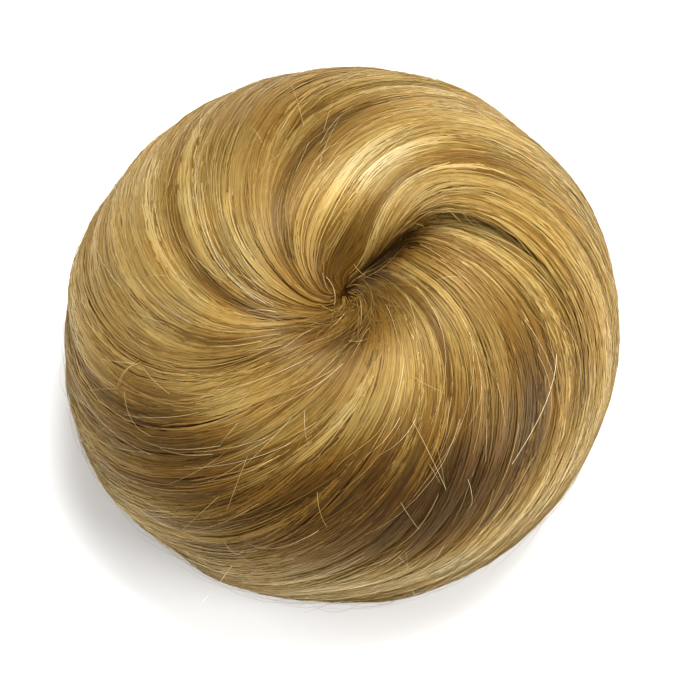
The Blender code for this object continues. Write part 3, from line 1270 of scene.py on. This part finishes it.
def strand_object(
    name: str, middle: Array, facing: Array, half: Array | float, tone: Array | None = None
) -> bpy.types.Object:
    """Tapered three-sided strands with a flat side up, each rolled a little and closed at both tips.

    Args:
        name: The object's name.
        middle: The middle line of each strand, as strands by rings by places.
        facing: The way that each ring faces out.
        half: Half the width, for all, for each strand or for each ring.
        tone: The hair tone, for each strand or for each ring.

    Returns:
        The object.
    """
    count, rings = middle.shape[:2]
    half = np.broadcast_to(half, (count, rings))
    along = np.gradient(middle, axis=1)
    along /= np.linalg.norm(along, axis=2, keepdims=True)
    side = np.cross(along, facing)
    side /= np.linalg.norm(side, axis=2, keepdims=True)
    up = np.cross(side, along)
    corners = []
    roll = np.random.default_rng(count).normal(0.0, STRAND_ROLL, (count, 1, 1))
    for third in range(3):
        turn = roll - QUARTER_TURN + third * FULL_TURN / 3.0
        corners.append(middle + half[..., None] * (np.cos(turn) * side + np.sin(turn) * up))
    body = np.stack(corners, axis=2)
    first_tip = middle[:, 0] - along[:, 0] * half[:, :1]
    last_tip = middle[:, -1] + along[:, -1] * half[:, -1:]
    tips = np.stack([first_tip, last_tip], 1)
    points = np.concatenate([body.reshape(-1, 3), tips.reshape(-1, 3)])
    index = np.arange(count * rings * 3).reshape(count, rings, 3)
    following = np.roll(index, -1, axis=2)
    quads = np.stack([index[:, :-1], index[:, 1:], following[:, 1:], following[:, :-1]], -1)
    tip = count * rings * 3 + np.arange(count)[:, None] * 2
    start = np.stack([np.broadcast_to(tip, (count, 3)), index[:, 0], following[:, 0]], -1)
    end = np.stack([np.broadcast_to(tip + 1, (count, 3)), following[:, -1], index[:, -1]], -1)
    faces = quads.reshape(-1, 4).tolist() + start.reshape(-1, 3).tolist() + end.reshape(-1, 3).tolist()
    if tone is not None:
        tone = np.broadcast_to(tone, (count, rings))
        tone = np.concatenate([np.repeat(tone, 3), tone[:, [0, -1]].ravel()])
    made = make_object(name, points, faces, tone, strand_unwrap(count, rings))
    ends = np.empty(2 * len(made.data.edges), dtype=np.int64)
    made.data.edges.foreach_get("vertices", ends)
    ring = ends.reshape(-1, 2) // 3
    sharp = made.data.attributes.new("sharp_edge", "BOOLEAN", "EDGE")
    sharp.data.foreach_set("value", ring[:, 0] != ring[:, 1])
    return made


def strand_unwrap(count: int, rings: int) -> Array:
    """The UV places of strand_object's face corners: each strand has a long thin cell of its own.

    Args:
        count: How many strands there are.
        rings: How many rings each has.

    Returns:
        The UV place of each face corner.
    """
    across = max(1, round(math.sqrt(count / 18.0)))
    down = math.ceil(count / across)
    cell = np.arange(count)
    left = (cell % across)[:, None, None] / across
    low = (cell // across)[:, None, None] / down
    u = (0.04 + 0.92 * np.arange(rings) / (rings - 1))[None, :, None] / across
    v = (0.1 + 0.8 * np.arange(4) / 3.0)[None, None, :] / down
    here = np.stack(np.broadcast_arrays(left + u, low + v), -1)
    quads = np.stack([here[:, :-1, :-1], here[:, 1:, :-1], here[:, 1:, 1:], here[:, :-1, 1:]], 3)
    tip_start = here[:, 0, :3] - np.array([0.03 / across, 0.0])
    tip_end = here[:, -1, :3] + np.array([0.03 / across, 0.0])
    start = np.stack([tip_start, here[:, 0, :-1], here[:, 0, 1:]], 2)
    end = np.stack([tip_end, here[:, -1, 1:], here[:, -1, :-1]], 2)
    return np.concatenate([quads.reshape(-1, 2), start.reshape(-1, 2), end.reshape(-1, 2)])


# A tape's section, as shares of its half thickness and its half height
TAPE_SECTION = ((0.0, -1.0), (1.0, -0.8), (1.0, 0.8), (0.0, 1.0), (-1.0, 0.8), (-1.0, -0.8))


@dataclass
class NetCap:
    """The stretch cap: a thin shell, a net of crossing threads inside it and sewn weft tapes.

    tape_rows are the tapes' places and thread_span the threads' ends, as shares of the way from
    hem to crown. thread_turn is how far a thread goes round on the whole way, in radians.
    """

    form: CapForm
    shell: bpy.types.Material
    thread: bpy.types.Material
    around: int = 96
    threads: int = 56
    thread_half: float = 0.13 * MM
    thread_rings: int = 30
    thread_span: tuple[float, float] = (0.02, 0.93)
    thread_turn: float = 1.25
    tape_rows: tuple[float, ...] = (0.10, 0.28, 0.46, 0.64, 0.80)
    tape_half: float = 0.9 * MM
    tape_thick: float = 0.35 * MM
    tape_inset: float = 0.45 * MM
    scallops: int = 60
    scallop_size: float = 0.16

    def build_shell(self) -> None:
        """The thin shell that stands for the cap's solid."""
        outer = self.form.section(0.0)[:-1][::-1]
        inner = self.form.section(-self.form.wall)[:-1]
        rows = self.form.rings(np.concatenate([outer, inner]), evenly_round(self.around))
        crown = self.form.crown_height
        piece = closed_bowl("cap_shell", rows, (crown, crown - self.form.wall))
        settle(piece, self.shell, Slot.CAP_NET, "base_cap")

    def inner_line(self, share: Array, inset: float) -> Array:
        """Radius and height along the cap's inner face at shares of its length.

        Args:
            share: The shares.
            inset: How far in from the face, in metres.

        Returns:
            A radius and a height for each share.
        """
        section = self.form.section(-self.form.wall - inset)
        steps = np.hypot(*np.diff(section, axis=0).T)
        place = np.concatenate([[0.0], np.cumsum(steps)]) / steps.sum()
        return np.stack([np.interp(share, place, values) for values in section.T], -1)

    def build_threads(self) -> None:
        """The net's threads, which cross in two families."""
        share = np.linspace(*self.thread_span, self.thread_rings)
        lines = []
        for way in (-1.0, 1.0):
            line = self.inner_line(share, self.thread_half * (1.2 + 0.5 * way))
            for number in range(self.threads):
                bearing = FULL_TURN * number / self.threads + way * self.thread_turn * share
                lines.append(round_axis(line[:, 0], bearing, line[:, 1]))
        middle = np.array(lines)
        facing = np.array([0.0, 0.0, self.form.widest_height]) - middle
        facing /= np.linalg.norm(facing, axis=2, keepdims=True)
        net = strand_object("cap_net_threads", middle, facing, self.thread_half)
        settle(net, self.thread, Slot.CAP_NET)

    def build_tapes(self) -> None:
        """The flat weft tapes sewn round the cap's inner face, with a scalloped edge."""
        bearing = evenly_round(4 * self.scallops)
        half = self.tape_half * (1.0 + self.scallop_size * np.cos(self.scallops * bearing))
        for number, share in enumerate(self.tape_rows, start=1):
            radius, height = self.inner_line(np.array([share]), self.tape_inset)[0]
            lean = math.atan2(max(0.0, height - self.form.widest_height), radius)
            rows = []
            for across, along in TAPE_SECTION:
                thick = across * self.tape_thick
                out = thick * math.cos(lean) - along * half * math.sin(lean)
                up = thick * math.sin(lean) + along * half * math.cos(lean)
                rows.append(round_axis(radius + out, bearing, height + up))
            settle(closed_ring(f"weft_tape_{number}", np.array(rows)), self.thread, Slot.CAP_NET)

    def build(self) -> None:
        """Builds the shell, the threads and the tapes."""
        self.build_shell()
        self.build_threads()
        self.build_tapes()


def closed_ring(name: str, rows: Array) -> bpy.types.Object:
    """A closed ring whose section runs through rows of points.

    Args:
        name: The object's name.
        rows: The section's points, each as a ring of places, anticlockwise about the way round.

    Returns:
        The object.
    """
    count, around = rows.shape[:2]
    index = np.arange(count * around).reshape(count, around)
    below = np.roll(index, -1, axis=0)
    quads = np.stack([index, np.roll(index, -1, axis=1), np.roll(below, -1, axis=1), below], -1)
    return make_object(name, rows.reshape(-1, 3), quads.reshape(-1, 4).tolist())


@dataclass
class ElasticEdge:
    """The gathered elastic round the mouth, with a line of stitches.

    The gathers are drawn in by two waves, whose shares of gather_depth are even_share and
    uneven_share. squareness is the power that rounds the section's corners. level and
    stitch_level are shares of the elastic's height, and stitch_share is of a stitch's step.
    """

    knit: bpy.types.Material
    thread: bpy.types.Material
    thickness: float = 3.0 * MM
    squareness: float = 0.55
    level: float = 0.985
    section_rows: int = 20
    gathers: int = 72
    gather_depth: float = 0.28 * MM
    even_share: float = 0.5
    uneven_share: float = 0.3
    uneven_waves: int = 31
    stitches: int = 96
    stitch_share: float = 0.72
    stitch_level: float = 0.55
    stitch_slant: float = 0.5 * MM
    stitch_bow: float = 0.16 * MM
    stitch_inset: float = 0.12 * MM
    stitch_half: float = 0.15 * MM

    def build(self) -> None:
        """Builds the gathered ring and its stitches."""
        _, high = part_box("elastic_band")
        half_thick, half_high = 0.5 * self.thickness, 0.5 * high.z
        bearing = evenly_round(self.gathers * 6)
        wave = self.even_share * np.cos(self.gathers * bearing)
        wave += self.uneven_share * np.cos(self.uneven_waves * bearing + 1.0)
        wave = self.gather_depth * (wave - self.even_share - self.uneven_share)
        middle = high.x - half_thick
        rows = []
        for turn in evenly_round(self.section_rows):
            across, along = math.cos(turn), math.sin(turn)
            out = half_thick * math.copysign(abs(across) ** self.squareness, across)
            up = half_high * math.copysign(abs(along) ** self.squareness, along)
            rows.append(round_axis(middle + out + wave * across, bearing, half_high + up * self.level))
        settle(closed_ring("elastic_gathers", np.array(rows)), self.knit, Slot.ELASTIC, "elastic_band")
        self.build_stitches(middle - half_thick, self.stitch_level * high.z)

    def build_stitches(self, radius: float, height: float) -> None:
        """A line of short slanting stitches along the inside.

        Args:
            radius: How far from the middle the ring's inner face is.
            height: How high the line of stitches runs.
        """
        share = np.linspace(0.0, 1.0, 6)[None, :]
        step = FULL_TURN / self.stitches
        bearing = evenly_round(self.stitches)[:, None] + share * step * self.stitch_share
        inside = radius + self.stitch_inset - self.stitch_bow * np.sin(math.pi * share)
        middle = round_axis(inside, bearing, height + self.stitch_slant * (share - 0.5))
        facing = round_axis(-1.0, bearing, 0.0)
        line = strand_object("elastic_stitches", middle, facing, self.stitch_half)
        settle(line, self.thread, Slot.ELASTIC)


@dataclass
class SewnComb:
    """A plain moulded comb with softened edges, whipped to the elastic with thread.

    The spine's top and foot are heights over the comb's lowest place. The whips span a share of
    the comb's width, and each stands clear of the spine by the gaps and leans by lean, in radians.
    """

    node: str
    plastic: bpy.types.Material
    thread: bpy.types.Material
    softening: float = 0.22 * MM
    spine_foot: float = 0.6 * MM
    spine_top: float = 4.5 * MM
    spine_thickness: float = 1.4 * MM
    whips: int = 7
    whip_span: float = 0.92
    whip_half: float = 0.24 * MM
    lean: float = 0.012
    squareness: float = 0.4
    side_gap: float = 0.25 * MM
    end_gap: float = 0.1 * MM

    def build(self, frame: dict[str, Any]) -> None:
        """Builds the comb and its thread.
        """
        source = frame["nodes"][self.node]
        piece = linked(f"{self.node}_moulded", source.data.copy())
        weld = piece.modifiers.new("weld", "WELD")
        weld.merge_threshold = 0.02 * MM
        soft = piece.modifiers.new("soft", "BEVEL")
        soft.width = self.softening
        soft.segments = 2
        soft.limit_method = "ANGLE"
        soft.angle_limit = math.radians(35.0)
        soft.harden_normals = False
        graph = bpy.context.evaluated_depsgraph_get()
        finished = bpy.data.meshes.new_from_object(piece.evaluated_get(graph))
        piece.modifiers.clear()
        piece.data = finished
        piece.data.shade_smooth()
        piece.data.set_sharp_from_angle(angle=math.radians(50.0))
        settle(piece, self.plastic, Slot.COMB, self.node)
        self.build_whips()

    def build_whips(self) -> None:
        """Loops of thread over the comb's spine."""
        low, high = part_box(self.node)
        side = 1.0 if low.y > 0.0 else -1.0
        outer = max(abs(low.y), abs(high.y))
        reach = 0.5 * (high.x - low.x) / outer * self.whip_span
        turn = np.linspace(0.0, math.pi, 12)[None, :]
        middle_angle = side * QUARTER_TURN + np.linspace(-reach, reach, self.whips)[:, None]
        centre = low.z + 0.5 * (self.spine_foot + self.spine_top)
        inward = (self.spine_thickness + self.side_gap) * np.sin(turn) ** self.squareness
        half_loop = 0.5 * (self.spine_top - self.spine_foot) + self.end_gap
        angle = middle_angle + self.lean * np.cos(turn)
        middle = round_axis(outer + self.end_gap - inward, angle, centre + half_loop * np.cos(turn))
        facing = round_axis(-1.0, angle, 0.0)
        loops = strand_object(f"{self.node}_thread", middle, facing, self.whip_half)
        settle(loops, self.thread, Slot.ELASTIC)


@dataclass(frozen=True)
class PhotoView:
    """The camera at the photograph's angle.

    elevation is in degrees. middle is where the hair's outline is centred in the picture, and
    outline its width there, in pixels of a square picture whose side is picture. outline_height
    is how high the hair is where it makes the outline.
    """

    elevation: float = 73.0
    distance: float = 0.60
    picture: float = 700.0
    middle: Pixel = (343.0, 335.0)
    outline: float = 547.0
    sensor: float = 36.0
    outline_height: float = 23.7 * MM

    def axes(self) -> tuple[Vector, Vector, Vector]:
        """The view's right, up and forward.

        Returns:
            The three directions.
        """
        turn = math.radians(self.elevation)
        forward = Vector((0.0, math.cos(turn), -math.sin(turn)))
        return Vector((1.0, 0.0, 0.0)), Vector((0.0, math.sin(turn), math.cos(turn))), forward

    def metres_per_pixel(self, width: float) -> float:
        """The size of a pixel at the target's distance."""
        return width / self.outline

    def eye(self, width: float) -> Vector:
        """Where the camera stands.

        Args:
            width: The width of the hair, in metres.

        Returns:
            The camera's place.
        """
        right, up, forward = self.axes()
        across, down = (
            (0.5 * self.picture - pixel) * self.metres_per_pixel(width) for pixel in self.middle
        )
        target = Vector((0.0, 0.0, self.outline_height)) + right * across - up * down
        return target - forward * self.distance

    def ray(self, pixel: Pixel, width: float) -> tuple[Vector, Vector]:
        """The ray through a pixel.

        Args:
            pixel: The pixel's place across and down the picture.
            width: The width of the hair, in metres.

        Returns:
            The ray's start and direction.
        """
        right, up, forward = self.axes()
        scale = self.metres_per_pixel(width) / self.distance
        across = (pixel[0] - 0.5 * self.picture) * scale
        down = (pixel[1] - 0.5 * self.picture) * scale
        return self.eye(width), (forward + right * across - up * down).normalized()

    def build(self, width: float) -> None:
        """Places the camera.

        Args:
            width: The width of the hair, in metres.
        """
        data = bpy.data.cameras.new("photo_view")
        frame_width = self.metres_per_pixel(width) * self.picture
        data.sensor_width = self.sensor
        data.lens = self.sensor * self.distance / frame_width
        data.clip_start = 0.01
        camera = linked("photo_view", data)
        camera.location = self.eye(width)
        camera.rotation_euler = (math.radians(90.0 - self.elevation), 0.0, 0.0)
        bpy.context.scene.camera = camera


@dataclass(frozen=True)
class SoftBox:
    """A square studio light that points at the hairpiece, from an angle in degrees."""

    name: str
    bearing: float
    elevation: float
    distance: float
    side: float
    watts: float

    def build(self) -> None:
        """Hangs the light."""
        data = bpy.data.lights.new(self.name, "AREA")
        data.size = self.side
        data.energy = self.watts
        light = linked(self.name, data)
        turn, rise = math.radians(self.bearing), math.radians(self.elevation)
        flat = math.cos(rise) * self.distance
        light.location = (flat * math.cos(turn), flat * math.sin(turn), math.sin(rise) * self.distance)
        light.rotation_euler = light.location.to_track_quat("Z", "Y").to_euler()


LIGHTS = (
    SoftBox("key_box", bearing=66, elevation=64, distance=0.9, side=0.46, watts=13.0),
    SoftBox("left_box", bearing=170, elevation=36, distance=0.9, side=0.50, watts=3.2),
    SoftBox("right_box", bearing=-22, elevation=27, distance=0.8, side=0.40, watts=7.6),
)


@dataclass(frozen=True)
class Studio:
    """The floor, the surrounding light and the lights."""

    surround: float = 0.58

    def build(self) -> None:
        """Builds the studio."""
        world = bpy.data.worlds.new("studio")
        world.use_nodes = True
        background = world.node_tree.nodes["Background"]
        background.inputs["Color"].default_value = (1.0, 1.0, 1.0, 1.0)
        background.inputs["Strength"].default_value = self.surround
        bpy.context.scene.world = world
        bpy.context.scene.view_settings.view_transform = "Standard"
        Ground().build()
        for light in LIGHTS:
            light.build()


@dataclass(frozen=True)
class LooseHair:
    """A hair that stands off the bun over three pixels of the photograph, by lift at its middle."""

    start: Pixel
    middle: Pixel
    end: Pixel
    lift: float = 1.2 * MM
    tone: float = 0.60


LOOSE_HAIRS = (
    LooseHair((194, 120), (195, 137), (199, 154)),
    LooseHair((290, 83), (296, 106), (304, 129)),
    LooseHair((225, 105), (226, 111), (229, 117)),
    LooseHair((129, 167), (136, 223), (152, 268), 2.0 * MM),
    LooseHair((143, 363), (131, 374), (118, 392), 2.2 * MM),
    LooseHair((125, 384), (138, 417), (156, 437), 1.8 * MM),
    LooseHair((143, 366), (158, 382), (174, 397), 1.6 * MM),
    LooseHair((140, 359), (130, 374), (121, 388), 1.6 * MM),
    LooseHair((92, 362), (107, 374), (121, 388), 1.6 * MM),
    LooseHair((89, 391), (105, 387), (122, 388), 1.6 * MM),
    LooseHair((253, 443), (241, 478), (227, 511), 1.4 * MM, 0.56),
    LooseHair((221, 495), (202, 514), (181, 532), 1.2 * MM, 0.54),
    LooseHair((317, 487), (319, 506), (328, 528), 1.2 * MM, 0.50),
    LooseHair((556, 352), (540, 405), (502, 478), 2.4 * MM, 0.92),
    LooseHair((410, 417), (425, 447), (447, 492), 1.0 * MM, 0.62),
    LooseHair((390, 482), (404, 506), (419, 529), 1.0 * MM, 0.70),
    LooseHair((502, 183), (556, 213), (602, 244), 1.6 * MM),
    LooseHair((326, 277), (333, 290), (334, 305), 0.8 * MM, 0.66),
    LooseHair((322, 272), (325, 284), (331, 293), 0.6 * MM, 0.52),
    LooseHair((354, 264), (359, 270), (366, 276), 1.4 * MM, 0.55),
    LooseHair((373, 243), (378, 239), (381, 234), 1.0 * MM, 0.50),
    LooseHair((318, 304), (338, 313), (362, 306), 0.8 * MM, 0.60),
    LooseHair((329, 330), (338, 322), (347, 310), 0.8 * MM, 0.75),
    LooseHair((358, 296), (363, 310), (361, 327), 1.0 * MM, 0.65),
    LooseHair((345, 340), (356, 345), (372, 338), 0.8 * MM, 0.60),
    LooseHair((89, 223), (91, 201), (98, 176), 0.4 * MM, 0.90),
    LooseHair((234, 562), (217, 584), (202, 601), 0.4 * MM, 1.0),
    LooseHair((327, 580), (316, 590), (306, 598), 0.4 * MM, 1.0),
)


@dataclass(frozen=True)
class Fuzz:
    """One kind of short hair that leaves the surface at a slant.

    Pairs are ranges. angles and aside, how far a hair crosses the lay, are in degrees, travels and
    runs are travels, and off is how far a hair stands off. bowed is the share that bows back down.
    """

    name: str
    count: int
    angles: tuple[float, float]
    travels: tuple[float, float]
    runs: tuple[float, float]
    aside: float
    off: tuple[float, float]
    bowed: float
    tones: tuple[float, float]
    breadth: float
    seed: int


FUZZ_KINDS = (
    Fuzz(
        name="hair_fuzz", count=260, angles=(0.0, 360.0), travels=(0.10, 1.25), runs=(0.06, 0.26),
        aside=7.0, off=(0.6 * MM, 3.2 * MM), bowed=0.5, tones=(0.50, 0.88), breadth=0.85, seed=31,
    ),
    Fuzz(
        name="whirl_tangle", count=170, angles=(165.0, 300.0), travels=(-0.03, 0.12),
        runs=(0.04, 0.15), aside=26.0, off=(0.1 * MM, 0.9 * MM), bowed=0.85, tones=(0.10, 0.42),
        breadth=1.3, seed=32,
    ),
    Fuzz(
        name="rim_fuzz", count=420, angles=(0.0, 360.0), travels=(0.78, 1.12), runs=(0.05, 0.20),
        aside=9.0, off=(0.2 * MM, 1.1 * MM), bowed=0.7, tones=(0.58, 0.90), breadth=0.8, seed=33,
    ),
)


@dataclass
class LooseHairs:
    """Single hairs that stand off the bun where the photograph shows them, and fine fuzz.

    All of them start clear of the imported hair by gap.
    """

    form: HairForm
    view: PhotoView
    fibre: bpy.types.Material
    rings: int = 12
    fuzz_rings: int = 8
    half_width: float = 0.045 * MM
    gap: float = 0.4 * MM

    def over(self, tree: BVHTree, pixel: Pixel, width: float) -> tuple[Vector, Vector]:
        """Where the ray through a pixel meets the hair, or else the outline's height.

        Args:
            tree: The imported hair's faces.
            pixel: The pixel's place across and down the picture.
            width: The width of the hair, in metres.

        Returns:
            The place and the way that it faces.
        """
        start, way = self.view.ray(pixel, width)
        place, facing, _, _ = tree.ray_cast(start, way)
        if place is None:
            return start + way * ((self.view.outline_height - start.z) / way.z), -way
        return place, facing

    def build(self, body: bpy.types.Object, width: float) -> None:
        """Lays the hairs.

        Args:
            body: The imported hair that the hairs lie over.
            width: The width of the hair, in metres.
        """
        polygons = [tuple(face.vertices) for face in body.data.polygons]
        tree = BVHTree.FromPolygons([point.co for point in body.data.vertices], polygons)
        middles, facings = [], []
        along = np.linspace(0.0, 1.0, self.rings)
        for hair in LOOSE_HAIRS:
            hits = [self.over(tree, pixel, width) for pixel in (hair.start, hair.middle, hair.end)]
            first, second, third = (np.array(place) for place, _ in hits)
            facing = np.array(sum((way for _, way in hits), Vector()).normalized())
            bend = 2.0 * second - 0.5 * (first + third)
            weights = ((1 - along) ** 2, 2 * along * (1 - along), along**2)
            line = sum(w[:, None] * p for w, p in zip(weights, (first, bend, third)))
            lift = self.gap + hair.lift * np.sin(math.pi * along)
            middles.append(line + lift[:, None] * facing)
            facings.append(np.broadcast_to(facing, line.shape))
        tones = np.array([[hair.tone] for hair in LOOSE_HAIRS])
        parts = (np.array(middles), np.array(facings), self.half_width, tones)
        settle(strand_object("loose_hairs", *parts), self.fibre, Slot.HAIR)
        for fuzz in FUZZ_KINDS:
            self.build_fuzz(fuzz)

    def build_fuzz(self, fuzz: Fuzz) -> None:
        """Lays the short hairs of one kind.

        Args:
            fuzz: The kind.
        """
        chance = np.random.default_rng(fuzz.seed)
        each = (fuzz.count, 1)
        angle = np.radians(chance.uniform(*fuzz.angles, each))
        travel = chance.uniform(*fuzz.travels, each)
        along = np.linspace(0.0, 1.0, self.fuzz_rings)[None, :]
        run = chance.uniform(*fuzz.runs, each)
        aside = np.radians(chance.normal(0.0, fuzz.aside, each))
        off = chance.uniform(*fuzz.off, each)
        bowed = chance.uniform(size=each) < fuzz.bowed
        lift = self.gap + off * np.where(bowed, np.sin(math.pi * along), along**1.5)
        points, facing = self.form.place(angle + aside * along, travel + run * along, lift)
        keep_above(points, FUZZ_CLEARANCE)
        half = self.half_width * fuzz.breadth * (1.0 - 0.6 * along)
        tone = chance.uniform(*fuzz.tones, each)
        settle(strand_object(fuzz.name, points, facing, half, tone), self.fibre, Slot.HAIR)


BLONDE = HairFibre("blonde_fibre")
PACKED_BLONDE = HairFibre("packed_blonde_fibre", roughness=0.70, specular=0.06, sheen=0.0)
STRETCH_NET = Fabric("stretch_net", dark=(0.105, 0.062, 0.030), light=(0.235, 0.150, 0.080))
NET_THREAD = Fabric("net_thread", (0.180, 0.115, 0.058), (0.330, 0.225, 0.125), threads_per_metre=3000.0)
ELASTIC_KNIT = Fabric("elastic_knit", dark=(0.130, 0.082, 0.042), light=(0.300, 0.205, 0.115))
COMB_PLASTIC = MouldedPlastic("comb_moulding", dark=(0.030, 0.017, 0.009), light=(0.085, 0.050, 0.026))


def main() -> None:
    """Builds the hairpiece's looks round the frame."""
    logging.basicConfig(level=logging.INFO, format="%(message)s")
    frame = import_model()
    low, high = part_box("hair_swirl")
    width = high.x - low.x
    view = PhotoView()
    view.build(width)
    Studio().build()
    fibre = BLONDE.material()
    thread = NET_THREAD.material()
    cap_form = CapForm.from_frame()
    form = HairForm()
    WoundHair(form, fibre, PACKED_BLONDE.material(), cap_form).build()
    LooseHairs(form, view, fibre).build(bpy.data.objects["hair_body"], width)
    NetCap(cap_form, STRETCH_NET.material(), thread).build()
    ElasticEdge(ELASTIC_KNIT.material(), thread).build()
    plastic = COMB_PLASTIC.material()
    for node in ("comb_front", "comb_back"):
        SewnComb(node, plastic, thread).build(frame)


if __name__ == "__main__":
    main()
